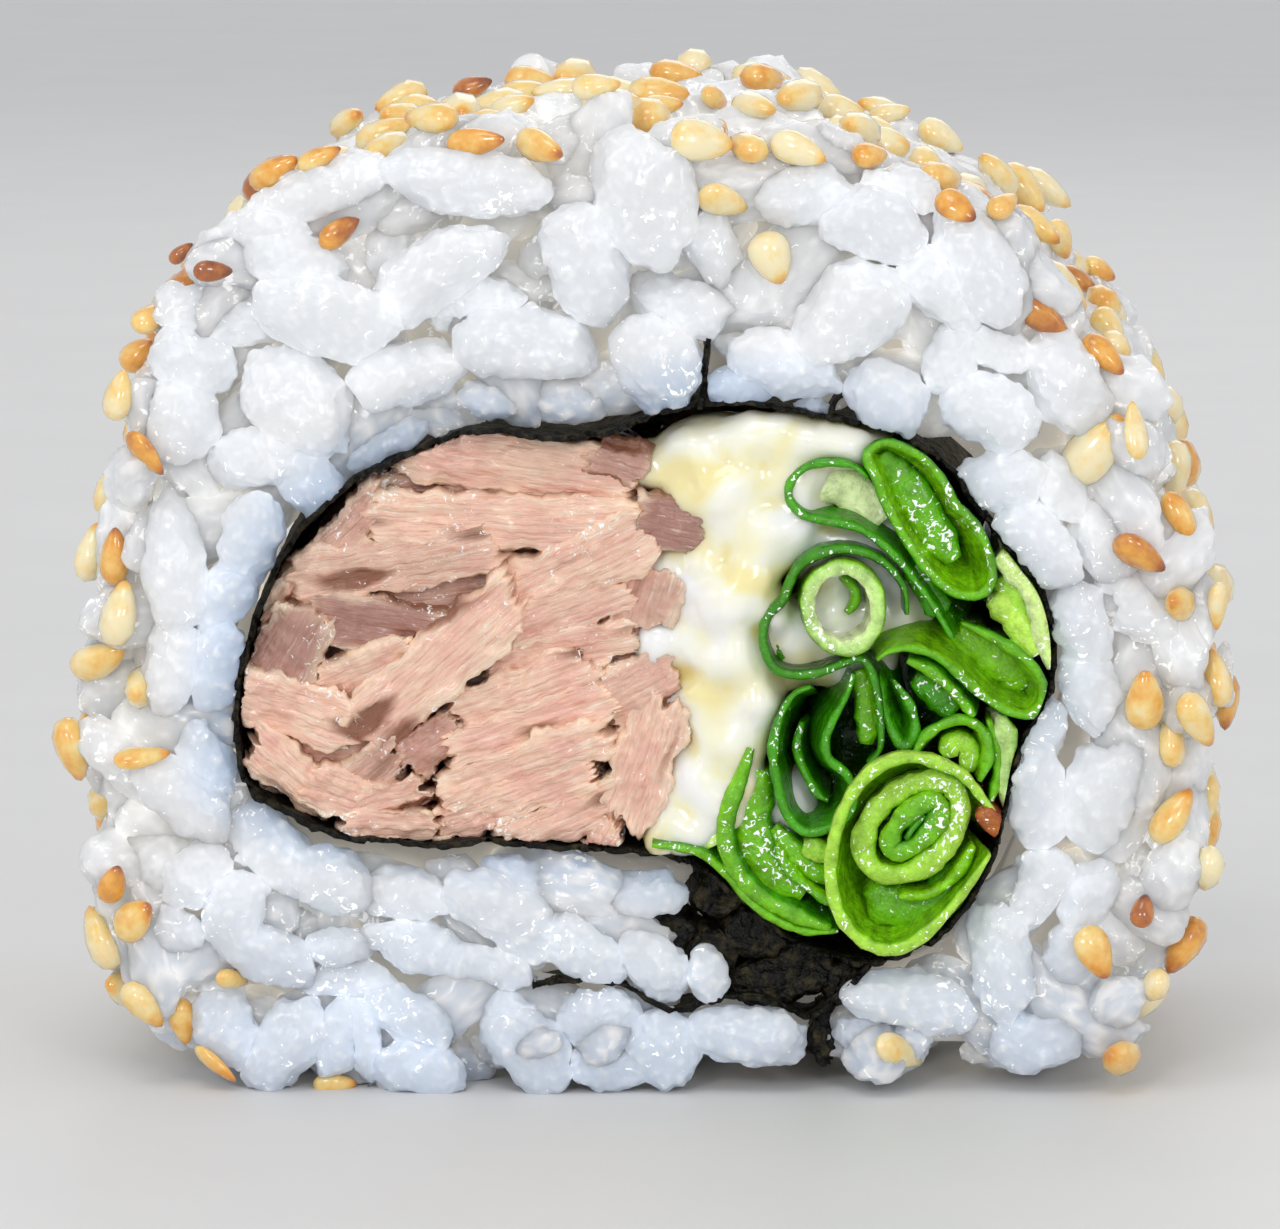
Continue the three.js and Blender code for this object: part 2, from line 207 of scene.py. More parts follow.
def smooth_path(points, step, closed=False):
    """Points a step apart on a smooth curve through the given ones."""
    given = np.array(points, float)
    if closed:
        given = np.vstack([given[-1:], given, given[:2]])
    else:
        given = np.vstack([2 * given[0] - given[1], given, 2 * given[-1] - given[-2]])
    t = np.linspace(0, 1, 16, endpoint=False)[:, None]
    parts = []
    for a, b, c, d in zip(given, given[1:], given[2:], given[3:]):
        parts.append(0.5 * (2 * b + (c - a) * t + (2 * a - 5 * b + 4 * c - d) * t**2
                            + (3 * b - a - 3 * c + d) * t**3))
    dense = np.vstack(parts + [given[-2][None]])
    run = np.r_[0, np.cumsum(np.linalg.norm(np.diff(dense, axis=0), axis=1))]
    count = max(2, round(run[-1] / step))
    at = np.linspace(0, run[-1], count + 1)
    path = np.stack([np.interp(at, run, dense[:, k]) for k in range(dense.shape[1])], 1)
    return path[:-1] if closed else path


def outline(angle):
    """Across and up on the roll's outer line."""
    c, s = np.cos(angle), np.sin(angle)
    power = np.choose((angle % tau // (tau / 4)).astype(int), corner_power)
    up = np.where(s < 0, widest_at + pressed_below, roll_height - widest_at)
    r = (np.abs(c)**power + np.abs(s)**power) ** (-1 / power)
    return np.stack([roll_width / 2 * r * c, np.maximum(widest_at + up * r * s, 0)], 1)


def reach_table(points):
    """Angle and distance from the roll's middle for a closed line, sorted by angle."""
    off = points - (0, widest_at)
    angle = np.arctan2(off[:, 1], off[:, 0])
    order = np.argsort(angle)
    return angle[order], np.hypot(off[:, 0], off[:, 1])[order]


outer_line = smooth_path(outline(np.linspace(0, tau, 240, endpoint=False)), 0.25, closed=True)
outer_table = reach_table(outer_line)
inner_table = reach_table(smooth_path(seaweed_line, 0.2, closed=True))


def from_middle(points):
    """Angle, distance, distance to the outer line and distance to the seaweed, for 3-D points."""
    across, up = points[:, 0], points[:, 2] - widest_at
    angle, away = np.arctan2(up, across), np.hypot(across, up)
    outer = np.interp(angle, *outer_table, period=tau)
    inner = np.interp(angle, *inner_table, period=tau)
    return angle, away, outer - away, away - inner


def ball(level):
    """Points and triangles of a round ball."""
    made = bmesh.new()
    bmesh.ops.create_icosphere(made, subdivisions=level, radius=1.0)
    points = np.array([tuple(v.co) for v in made.verts])
    faces = np.array([[v.index for v in f.verts] for f in made.faces])
    made.free()
    return points, faces


finest_ball, fine_ball, plain_ball = ball(5), ball(4), ball(3)
draw = np.random.default_rng(20)


def grain_form(ball_points, length, width, thick):
    """A cooked grain: blunt ends, one slimmer, a slight bow, and soft flats where it was pressed."""
    t = ball_points[:, 0]
    around = ball_points[:, 1:] / np.maximum(np.hypot(*ball_points[:, 1:].T), 1e-6)[:, None]
    girth = (1 - np.abs(t)**2.7)**0.52 * (1 - draw.uniform(-0.16, 0.16) * t)
    form = np.stack([t * length / 2, around[:, 0] * girth * width / 2,
                     around[:, 1] * girth * thick / 2], 1)
    form[:, 1] += draw.uniform(-0.07, 0.07) * length * (0.4 - t**2)
    form[:, 2] += draw.uniform(-0.05, 0.05) * length * (0.4 - t**2)
    for _ in range(5):
        way = draw.normal(size=3) * (0.5, 1, 1)
        way /= np.linalg.norm(way)
        far = form @ way
        past = np.maximum(far - far.max() * draw.uniform(0.72, 0.9), 0)
        form -= past[:, None] * way * 0.72
    end = np.exp(-((t - 0.86)**2) / 0.03) * np.clip(around[:, 0], 0, 1)**2
    form[:, 1] -= end * 0.1 * width
    return form


def frame_at(along, out):
    """A turn whose first axis follows along and whose third points out of the surface."""
    out = np.array(out, float) / np.linalg.norm(out)
    along = np.array(along, float)
    along -= out * (along @ out)
    along /= np.linalg.norm(along)
    return np.stack([along, np.cross(out, along), out], 1)


def settled(points):
    """Rice stays off the seaweed, off the plate and inside the mat."""
    angle, away, left, _ = from_middle(points)
    need = np.interp(angle, *inner_table, period=tau) + 0.1
    past = np.maximum(-left - 0.3, 0)
    wanted = np.maximum(away - 0.8 * past, need)
    grow = wanted / np.maximum(away, 0.1)
    points[:, 0] *= grow
    points[:, 2] = widest_at + (points[:, 2] - widest_at) * grow
    points[:, 2] = np.maximum(points[:, 2], 0.02)
    points[:, 1] = np.clip(points[:, 1], -most_forward, most_forward)
    points[:, 0] = np.clip(points[:, 0], -most_aside, most_aside)
    return points


def lay_grain(middle, along, out, length, width, ball_used):
    """Points and triangles of one grain in its place."""
    thick = np.clip(0.8 * width, 1.6, 2.4)
    form = grain_form(ball_used[0], length, width, thick)
    return settled(form @ frame_at(along, out).T + middle), ball_used[1]


# Grains of the cut face as the picture shows them: picture point of the middle, length and width,
# turn in degrees, and how far the grain stands towards the eye.
face_grains = [
    (465, 182, 7.2, 2.7, -5, 0.8), (318, 190, 6.0, 2.5, 22, 0.2), (275, 228, 4.4, 2.4, 15, 0.0),
    (297, 262, 4.6, 2.5, -12, 0.5), (330, 318, 6.4, 3.4, -15, 1.2), (440, 272, 6.0, 2.9, 32, 0.9),
    (215, 315, 6.0, 2.5, -8, -0.3), (193, 358, 3.7, 2.8, -20, 0.4), (180, 418, 3.8, 3.2, 90, 0.5),
    (300, 402, 5.6, 3.7, -35, 0.6), (408, 375, 5.0, 2.7, 18, 0.5), (478, 305, 3.8, 1.9, 15, 0.2),
    (532, 345, 6.3, 3.0, -5, 0.4), (400, 245, 4.0, 3.2, 60, -1.2), (215, 238, 3.2, 2.0, 30, -1.0),
    (252, 458, 3.9, 2.6, 10, 0.3), (312, 480, 3.7, 2.6, -50, 0.1), (385, 440, 4.0, 1.7, 25, -0.3),
    (175, 560, 6.0, 2.6, 92, 0.7), (247, 545, 4.6, 2.6, 75, 0.5), (222, 600, 3.8, 2.4, 60, 0.3),
    (172, 655, 4.8, 2.4, 85, 0.4), (218, 668, 4.4, 2.0, 78, 0.4), (122, 692, 3.8, 3.1, -10, -2.0),
    (210, 755, 4.0, 2.2, -65, 0.0), (120, 768, 2.8, 2.4, 0, -2.5), (183, 798, 5.0, 2.4, -40, 0.8),
    (645, 198, 6.0, 4.2, -70, 1.2), (588, 265, 5.2, 3.4, -75, 0.9), (716, 250, 3.4, 2.1, -70, 0.6),
    (682, 305, 4.8, 2.4, -15, 0.4), (655, 362, 4.3, 3.4, -60, 0.7), (545, 248, 3.0, 1.8, 60, -0.6),
    (530, 300, 2.0, 1.4, 0, -0.8), (487, 400, 2.5, 1.5, -15, 0.0), (565, 400, 4.2, 2.0, 5, -0.4),
    (425, 400, 3.6, 1.8, 0, -0.8), (805, 197, 4.2, 2.5, 5, 0.5), (785, 365, 4.8, 2.6, -15, 0.6),
    (740, 388, 2.8, 1.5, -10, 0.2), (810, 408, 1.5, 1.0, 0, -0.2), (730, 340, 1.6, 1.4, 0, -0.8),
    (775, 300, 3.2, 2.0, 0, -1.5), (530, 210, 2.4, 1.6, 0, -1.0), (872, 225, 4.6, 3.0, -10, 0.9),
    (850, 315, 5.2, 3.8, 45, 1.0), (975, 260, 6.0, 2.8, -55, 0.9), (940, 290, 4.4, 2.4, -50, 0.9),
    (905, 190, 3.6, 2.0, -25, 0.3), (888, 398, 3.6, 3.0, -45, 0.5), (952, 355, 3.4, 2.1, 70, 0.3),
    (995, 348, 3.2, 2.2, -30, 0.2), (990, 412, 4.4, 2.9, -20, 0.6), (1068, 385, 4.6, 3.0, -60, 0.2),
    (1050, 305, 4.4, 2.2, -50, -1.0), (1005, 225, 2.0, 1.8, -60, -0.8),
    (1005, 480, 4.0, 2.5, 10, 0.5), (1060, 490, 3.2, 1.9, -60, 0.3), (1040, 545, 4.4, 3.0, -45, 0.4),
    (1105, 545, 4.0, 2.4, -55, 0.0), (1150, 515, 2.8, 2.0, -40, -0.8),
    (1082, 630, 4.0, 2.5, -75, 0.4), (1135, 600, 4.4, 2.4, -50, 0.1),
    (1170, 640, 4.8, 2.4, -60, -0.5), (1195, 600, 4.0, 2.0, -75, -1.5),
    (1090, 690, 3.8, 2.5, -70, 0.3), (1225, 675, 2.6, 1.4, 90, -3.0),
    (1035, 795, 5.0, 2.6, -80, 0.4), (1105, 790, 5.2, 3.2, 70, 0.2), (1180, 770, 3.6, 2.4, 65, -1.2),
    (1148, 870, 3.2, 2.4, 30, -1.2), (1088, 895, 3.4, 2.2, 60, 0.1), (1035, 890, 4.0, 2.4, 60, 0.3),
    (1000, 955, 5.6, 2.6, -78, 0.6), (1065, 960, 3.6, 2.4, 60, 0.0),
    (1120, 930, 3.2, 2.0, -70, -0.8), (1095, 1005, 3.8, 2.5, -60, -0.3),
    (1040, 730, 3.6, 2.2, 85, -0.2), (1035, 1040, 4.2, 2.6, 10, 0.4),
    (910, 1000, 5.8, 2.5, -8, 0.6), (865, 1035, 2.8, 1.7, 0, 0.1),
    (905, 1045, 2.4, 1.7, 0, 0.2), (155, 860, 3.6, 2.8, 60, -0.8), (197, 874, 3.2, 2.4, 45, 0.5),
    (270, 850, 5.2, 3.0, -45, -0.1), (238, 915, 4.0, 2.7, 80, 0.7), (332, 878, 4.2, 2.6, -20, 0.4),
    (178, 935, 3.2, 2.3, -40, 0.0), (275, 958, 4.0, 2.3, -25, 0.7), (340, 945, 2.9, 1.7, 5, 0.3),
    (300, 922, 3.2, 1.8, -20, -0.5), (405, 895, 4.0, 2.2, 0, 0.3), (418, 945, 4.6, 2.2, -12, 0.3),
    (350, 980, 4.0, 1.7, -5, 0.0), (228, 1028, 3.6, 2.6, -55, 0.2), (285, 1045, 4.8, 2.7, 60, 0.6),
    (337, 1035, 3.7, 1.8, 80, 0.6), (365, 1040, 3.9, 1.4, -80, 0.5), (410, 1015, 4.0, 2.4, -20, 0.6),
    (420, 1070, 4.2, 2.4, -15, 0.7), (112, 945, 2.8, 2.4, 0, -3.0), (165, 1000, 4.4, 2.6, -50, -1.5),
    (210, 975, 3.2, 1.8, -35, -0.5), (500, 915, 6.0, 2.9, -38, 0.6), (490, 965, 4.0, 2.2, -10, 0.3),
    (520, 878, 3.4, 2.0, -15, -0.1), (638, 895, 4.3, 2.1, 5, 0.3), (585, 950, 4.0, 2.6, -25, 0.4),
    (650, 958, 3.8, 2.6, -40, 0.5), (708, 972, 2.5, 1.8, -75, 0.6), (528, 1045, 4.4, 3.1, -40, 0.5),
    (515, 1010, 3.2, 1.8, -20, 0.1), (598, 1015, 3.6, 2.4, 10, 0.5), (612, 1065, 3.4, 2.1, 0, 0.6),
    (665, 1050, 3.4, 3.0, -50, 0.6), (748, 1035, 5.1, 2.6, -5, 0.6), (475, 1055, 1.8, 2.4, 0, -1.5),
]
front_stack = []
for across, down, length, width, turn, lift in face_grains:
    middle = seen_at(across, down, -11.0 - 0.95 * lift)
    turn = math.radians(turn)
    along = (math.cos(turn), draw.uniform(-0.2, 0.2), math.sin(turn))
    out = (draw.uniform(-0.25, 0.25), -1, draw.uniform(-0.25, 0.25))
    used = finest_ball if lift > -0.4 and length > 2.6 else fine_ball
    front_stack.append(lay_grain(middle, along, out, length, width, used))


def spread(spacing, place_ok, tries):
    """Chance places in the ring, none nearer to another than the spacing."""
    kept = []
    for _ in range(tries):
        spot = np.array([draw.uniform(-22, 22), 0, draw.uniform(0.8, 40)])
        if place_ok(spot) and all(np.hypot(*(spot - k)[::2]) > spacing for k in kept):
            kept.append(spot)
    return kept


def in_ring(spot, outside=1.7, inside=1.5):
    """True where a grain fits between the outer line and the seaweed."""
    _, _, left, off = from_middle(spot[None])
    return left[0] > outside and off[0] > inside


pocket, pocket_reach = (4.6, 5.4), 5.4


def behind_face(spot):
    """Room for a grain of the second layer, clear of the dark pocket where the seaweed ends."""
    return in_ring(spot) and np.hypot(spot[0] - pocket[0], spot[2] - pocket[1]) > pocket_reach


grain_lengths, grain_widths = (5.2, 7.0), (2.5, 3.2)


def flat_grains(places, side, depth, ball_used):
    """Grains laid on a cut face at these places."""
    made = []
    for spot in places:
        spot = np.array([spot[0], side * (depth + draw.uniform(-0.5, 0.6)), spot[2]])
        turn = draw.uniform(0, tau)
        along = (math.cos(turn), draw.uniform(-0.3, 0.3), math.sin(turn))
        out = (draw.uniform(-0.3, 0.3), side, draw.uniform(-0.3, 0.3))
        size = draw.uniform(*grain_lengths), draw.uniform(*grain_widths)
        made.append(lay_grain(spot, along, out, *size, ball_used))
    return made


deep_stack = flat_grains(spread(2.7, behind_face, 3500), -1, 10.3, fine_ball)
back_stack = flat_grains(spread(3.5, in_ring, 3500), 1, 11.2, fine_ball)
back_stack += flat_grains(spread(3.3, in_ring, 2500), 1, 9.6, plain_ball)

# The mat's side of the ring: grains lie along the skin at every turn.
run = np.r_[0, np.cumsum(np.linalg.norm(np.diff(np.vstack([outer_line, outer_line[:1]]), axis=0),
                                        axis=1))]
side_length = run[-1]


def on_side(distance, inset=0.0):
    """Across, up and outward direction at this distance along the outer line."""
    closed = np.vstack([outer_line, outer_line[:1]])
    place = [np.interp(distance % side_length, run, closed[:, k]) for k in (0, 1)]
    ahead = [np.interp((distance + 0.8) % side_length, run, closed[:, k]) for k in (0, 1)]
    behind = [np.interp((distance - 0.8) % side_length, run, closed[:, k]) for k in (0, 1)]
    way = np.array([ahead[1] - behind[1], behind[0] - ahead[0]])
    way /= np.linalg.norm(way)
    return np.array(place) - way * inset, way


def side_spread(spacing, tries, limit):
    """Chance places on the skin: distance along the outer line and depth."""
    kept = []
    for _ in range(tries):
        spot = draw.uniform(0, side_length), draw.uniform(-limit, limit)
        gaps = [(abs((spot[0] - k[0] + side_length / 2) % side_length - side_length / 2),
                 spot[1] - k[1]) for k in kept]
        if all(math.hypot(*gap) > spacing for gap in gaps):
            kept.append(spot)
    return kept


sectors = 6
side_stacks = [[] for _ in range(sectors)]
for spacing, limit, low, high, ball_used in ((3.45, 10.4, 1.2, 2.0, fine_ball),
                                             (3.6, 9.4, 3.1, 3.7, plain_ball)):
    for distance, depth in side_spread(spacing, 6000, limit):
        (across, up), way = on_side(distance, draw.uniform(low, high))
        in_pocket = math.hypot(across - pocket[0], up - pocket[1]) < 5.0 and depth < -4.5
        if up < 1.0 and low > 2 or in_pocket:
            continue
        turn = draw.uniform(0, tau)
        out = np.array([way[0], draw.uniform(-0.25, 0.25), way[1]])
        along = (way[1] * math.cos(turn), math.sin(turn), -way[0] * math.cos(turn))
        size = draw.uniform(*grain_lengths), draw.uniform(*grain_widths)
        sector = int(distance / side_length * sectors) % sectors
        side_stacks[sector].append(
            lay_grain(np.array([across, depth, up]), along, out, *size, ball_used))


def core_block(from_angle, to_angle, near, far, outer_inset, inner_gap, thickness=None):
    """Closed block of the ring between two angles and two depths, which backs the grains."""
    steps = max(8, round((to_angle - from_angle) / tau * 90))
    whole = to_angle - from_angle > tau - 0.01
    angle = np.linspace(from_angle, to_angle, steps + (not whole), endpoint=not whole)
    outer = np.interp(angle, *outer_table, period=tau) - outer_inset
    inner = np.interp(angle, *inner_table, period=tau) + inner_gap
    if thickness:
        inner = np.maximum(inner, outer - thickness)
    outer = np.maximum(outer, inner + 0.6)
    rings = []
    for away, depth in ((outer, near), (outer, far), (inner, far), (inner, near)):
        up = np.maximum(widest_at + away * np.sin(angle), 0.5)
        rings.append(np.stack([away * np.cos(angle), np.full(len(angle), depth), up], 1))
    points, faces, count = np.vstack(rings), [], len(angle)
    for k in range(4):
        for i in range(steps):
            a, b = k * count + i, k * count + (i + 1) % count
            c, d = ((k + 1) % 4) * count + (i + 1) % count, ((k + 1) % 4) * count + i
            faces += [(a, b, c), (a, c, d)]
    if not whole:
        faces += [(0, count, 2 * count), (0, 2 * count, 3 * count)]
        last = count - 1
        faces += [(last, last + 2 * count, last + count), (last, last + 3 * count, last + 2 * count)]
    return points, np.array(faces)


def joined(stack):
    """One list of points and one of triangles from many solids."""
    points, faces, start = [], [], 0
    for some_points, some_faces in stack:
        points.append(some_points)
        faces.append(some_faces + start)
        start += len(some_points)
    return np.vstack(points), np.vstack(faces)


def mesh_of(name, points, faces):
    """A mesh in metres from points in millimetres."""
    made = bpy.data.meshes.new(name)
    made.from_pydata(points * mm, [], faces)
    made.update()
    return made


def noise_texture(name, size, depth=2):
    """A cloud texture of this size, for a displacement that shapes the mesh."""
    made = bpy.data.textures.new(name, "CLOUDS")
    made.noise_scale = size * mm
    made.noise_depth = depth
    return made


lumps, pits = noise_texture("grain_lumps", 1.2), noise_texture("grain_pits", 0.6, 1)


def shaped(name, stack, reliefs, voxel=None, rounds=0):
    """Solids as one mesh with fine relief. With a voxel size they run together into one skin."""
    points, faces = joined(stack) if len(stack) > 1 else stack[0]
    thing = put(name, mesh_of(name, points, faces))
    thing.data.shade_smooth()
    if voxel:
        skin = thing.modifiers.new("skin", "REMESH")
        skin.mode = "VOXEL"
        skin.voxel_size = voxel * mm
        skin.use_smooth_shade = True
        ease = thing.modifiers.new("ease", "SMOOTH")
        ease.factor, ease.iterations = 0.5, rounds
    for texture, height in reliefs:
        relief = thing.modifiers.new("relief", "DISPLACE")
        relief.texture = texture
        relief.texture_coords = "LOCAL"
        relief.strength = height * mm
        relief.mid_level = 0.5
    shown = thing.evaluated_get(bpy.context.evaluated_depsgraph_get())
    made = bpy.data.meshes.new_from_object(shown)
    thing.modifiers.clear()
    thing.data = made
    made.name = name
    return thing


def finished_in(thing, finish):
    """Gives the whole piece this one finish."""
    thing.data.materials.clear()
    thing.data.materials.append(finish)


def points_of(mesh):
    """The mesh's points in millimetres."""
    flat = np.empty(len(mesh.vertices) * 3, np.float32)
    mesh.vertices.foreach_get("co", flat)
    return flat.reshape(-1, 3).astype(float) / mm


def mark(mesh, name, values):
    """Stores one number for each point, for the material to read."""
    made = mesh.attributes.new(name, "FLOAT", "POINT")
    made.data.foreach_set("value", np.asarray(values, np.float32))


def attribute(tree, name):
    """A node that reads what mark() stored."""
    made = tree.nodes.new("ShaderNodeAttribute")
    made.attribute_name = name
    return made.outputs["Fac"]


def blended(tree, first, second, share, kind="MIX"):
    """Mixes two colours, given as colours or as sockets."""
    made = node(tree, "ShaderNodeMix", data_type="RGBA", blend_type=kind)
    for socket, value in ((0, share), (6, first), (7, second)):
        if isinstance(value, (tuple, float, int)):
            made.inputs[socket].default_value = value
        else:
            tree.links.new(value, made.inputs[socket])
    return made.outputs[2]


def reckon(tree, kind, *values):
    """A Math node of this kind."""
    made = node(tree, "ShaderNodeMath", operation=kind)
    for socket, value in enumerate(values):
        if isinstance(value, (float, int)):
            made.inputs[socket].default_value = value
        else:
            tree.links.new(value, made.inputs[socket])
    return made.outputs[0]


def kept_in_unit(tree, value, scale, shift):
    """The value times a scale plus a shift, held between 0 and 1."""
    made = reckon(tree, "MULTIPLY_ADD", value, scale, shift)
    made.node.use_clamp = True
    return made


def wet_film():
    """Node group: the uneven film of water on a moist surface, as a height."""
    group = bpy.data.node_groups.new("wet_film", "ShaderNodeTree")
    group.interface.new_socket("Grain", in_out="INPUT", socket_type="NodeSocketFloat")
    group.interface.new_socket("Height", in_out="OUTPUT", socket_type="NodeSocketFloat")
    enter, leave = node(group, "NodeGroupInput"), node(group, "NodeGroupOutput")
    film = node(group, "ShaderNodeTexNoise", in_3=2.5, in_4=0.6)
    where = node(group, "ShaderNodeTexCoord")
    group.links.new(where.outputs["Object"], film.inputs["Vector"])
    group.links.new(enter.outputs["Grain"], film.inputs["Scale"])
    group.links.new(film.outputs["Fac"], leave.inputs["Height"])
    return group


wet_group = wet_film()


def wet_bump(tree, shader, strength, distance, grain):
    """Puts the wet film on a material as its bump."""
    film = node(tree, "ShaderNodeGroup", node_tree=wet_group)
    film.inputs["Grain"].default_value = grain
    bump = node(tree, "ShaderNodeBump")
    bump.inputs["Strength"].default_value = strength
    bump.inputs["Distance"].default_value = distance * mm
    tree.links.new(film.outputs["Height"], bump.inputs["Height"])
    tree.links.new(bump.outputs["Normal"], shader.inputs["Normal"])
    return bump


def sparks():
    """Node group: where small painted glints sit, as if on a wet uneven surface, as a mask."""
    group = bpy.data.node_groups.new("wet_sparks", "ShaderNodeTree")
    for label in ("Grain", "Share"):
        group.interface.new_socket(label, in_out="INPUT", socket_type="NodeSocketFloat")
    group.interface.new_socket("Mask", in_out="OUTPUT", socket_type="NodeSocketFloat")
    enter, leave = node(group, "NodeGroupInput"), node(group, "NodeGroupOutput")
    where = node(group, "ShaderNodeTexCoord")
    fine = node(group, "ShaderNodeTexNoise", in_3=1.0, in_8=1.2)
    broad = node(group, "ShaderNodeTexNoise", in_2=380.0, in_3=0.0)
    group.links.new(where.outputs["Object"], fine.inputs["Vector"])
    group.links.new(where.outputs["Object"], broad.inputs["Vector"])
    group.links.new(enter.outputs["Grain"], fine.inputs["Scale"])
    level = reckon(group, "MULTIPLY_ADD", broad.outputs["Fac"], 0.35, fine.outputs["Fac"])
    past = reckon(group, "ADD", level, enter.outputs["Share"])
    mask = kept_in_unit(group, past, 14.0, -14.0)
    group.links.new(mask, leave.inputs["Mask"])
    return group


spark_group = sparks()


def glinting(tree, shader, base, grain, share, height, edge, edge_share, glow=(0, 0, 0, 1)):
    """Paints highlights as glints over a base colour, most on the edges, and lets them glow a little.
    """
    mask = node(tree, "ShaderNodeGroup", node_tree=spark_group)
    mask.inputs["Grain"].default_value = grain
    tree.links.new(reckon(tree, "MULTIPLY_ADD", attribute(tree, edge), edge_share, share),
                   mask.inputs["Share"])
    shine = blended(tree, glow, (height, height, height, 1), mask.outputs["Mask"])
    tree.links.new(shine, shader.inputs["Emission Color"])
    shader.inputs["Emission Strength"].default_value = 1.0
    return blended(tree, base, (0.97, 0.98, 0.98, 1), mask.outputs["Mask"])


def creases(thing, rounds):
    """How far each point lies under (above 0) or over the smoothed skin, in millimetres."""
    ease = thing.modifiers.new("ease", "SMOOTH")
    ease.factor, ease.iterations = 0.5, rounds
    shown = thing.evaluated_get(bpy.context.evaluated_depsgraph_get())
    eased = points_of(shown.data)
    thing.modifiers.clear()
    normals = np.empty(len(thing.data.vertices) * 3, np.float32)
    thing.data.vertices.foreach_get("normal", normals)
    return ((eased - points_of(thing.data)) * normals.reshape(-1, 3)).sum(1)


rice_finish, tree, shader = finish_named(
    "wet_rice", Roughness=0.3, Subsurface_Weight=0.95, Subsurface_Scale=0.0025, IOR=1.4,
    Subsurface_Radius=(0.95, 1.0, 1.05), Coat_Weight=0.35, Coat_Roughness=0.1)
shader.subsurface_method = "BURLEY"
wet_bump(tree, shader, 0.7, 0.1, 1500.0)
cloud = node(tree, "ShaderNodeTexNoise", in_2=260.0, in_3=2.0)
tree.links.new(node(tree, "ShaderNodeTexCoord").outputs["Object"], cloud.inputs["Vector"])
white, cool, clear = (0.75, 0.75, 0.755, 1), (0.43, 0.54, 0.71, 1), (0.62, 0.66, 0.71, 1)
warm, bright = (0.76, 0.71, 0.64, 1), (0.86, 0.86, 0.865, 1)
patch = reckon(tree, "MULTIPLY_ADD", cloud.outputs["Fac"], 0.5, -0.1)
base = blended(tree, white, clear, reckon(tree, "ADD", patch,
                                          reckon(tree, "MULTIPLY", attribute(tree, "tone"), 0.35)))
# painted shade: rice near the seaweed and towards the bottom turns bluish grey
base = blended(tree, base, cool, attribute(tree, "near_seaweed"))
# painted shade and light: points deep under the outer skin and the cut faces turn warm beige, as if lit
# through the grains
base = blended(tree, base, warm, attribute(tree, "deep"))
# painted light: points on the grains' convex ridges are made brighter
base = blended(tree, base, bright, attribute(tree, "ridge"))
# painted glow: the deep points shine a little through the emission colour, standing in for light
# passing through the grains
glow = blended(tree, (0, 0, 0, 1), (0.15, 0.14, 0.12, 1), attribute(tree, "deep"))
# painted highlights: white glints in the colour and the emission, most of them on the ridges
base = glinting(tree, shader, base, 2600.0, 0.11, 0.22, "ridge", 0.1, glow)
tree.links.new(base, shader.inputs["Base Color"])

rice_pieces = []


def rice_piece(name, stack):
    """One block of grains with its finish, in the place of the plain ring."""
    thing = shaped(name, stack, ((lumps, 0.44), (pits, 0.25)))
    points = points_of(thing.data)
    tones = np.concatenate([np.full(len(solid[0]), draw.uniform(0, 1)) for solid in stack])
    mark(thing.data, "tone", tones)
    # painted light: how far each point stands over the smoothed skin; it brightens the ridges and
    # gathers the painted glints there
    mark(thing.data, "ridge", np.clip(-creases(thing, 6) / 0.07 - 0.15, 0, 0.9))
    _, _, left, off = from_middle(points)
    # how deep each point lies under the outer skin and the cut faces, for the painted warm shade and
    # glow of the gaps
    under = np.minimum(left + 0.2, 12.6 - np.abs(points[:, 1]))
    mark(thing.data, "deep", np.clip((under - 1.1) / 2.4, 0, 1)**1.2)
    # painted shade: bluish grey towards the bottom of the roll and close to the dark seaweed
    low = np.clip(1 - points[:, 2] / 10, 0, 1) * 0.55
    seaweed_shade = np.clip(1 - off / 2.8, 0, 1) * np.clip(1.15 - points[:, 0] / 16, 0.35, 1)
    mark(thing.data, "near_seaweed", np.maximum(seaweed_shade, low))
    finished_in(thing, rice_finish)
    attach(thing, "root")
    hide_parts("rice")
    rice_pieces.append(thing)


deep_stack.append(core_block(0, tau, -9.4, -7.9, 2.2, 0.8))
back_stack.append(core_block(0, tau, 7.9, 9.4, 2.2, 0.8))
quarter = math.ceil(len(front_stack) / 4)
for share in range(4):
    rice_piece(f"rice_front_{share + 1}", front_stack[share * quarter:(share + 1) * quarter])
rice_piece("rice_front_deep", deep_stack)
rice_piece("rice_back", back_stack)
for sector, stack in enumerate(side_stacks):
    rim = outer_line[[int(sector / sectors * len(outer_line)),
                      int((sector + 1) / sectors * len(outer_line)) - 1]] - (0, widest_at)
    start, end = np.arctan2(rim[:, 1], rim[:, 0])
    if end < start:
        end += tau
    stack.append(core_block(start - 0.1, end + 0.1, -9.0, 9.0, 3.2, 0.5, 1.6))
    rice_piece(f"rice_side_{sector + 1}", stack)


# ---------------------------------------------------------------- seaweed
# One sheet of toasted nori, thinner than card, bent round the filling with its end tucked under
# the seam. Moisture from the rice leaves it black, wrinkled, and ragged where the knife passed.
def chains(paths, step):
    """Edge chains in the upright plane: each path's points, and whether it closes."""
    points, edges = [], []
    for path, closed in paths:
        line = smooth_path(path, step, closed)
        start, count = len(points), len(line)
        points += [(x * mm, 0, z * mm) for x, z in line]
        edges += [(start + i, start + i + 1) for i in range(count - 1)]
        if closed:
            edges.append((start + count - 1, start))
    made = bpy.data.meshes.new("path")
    made.from_pydata(points, edges, [])
    return made


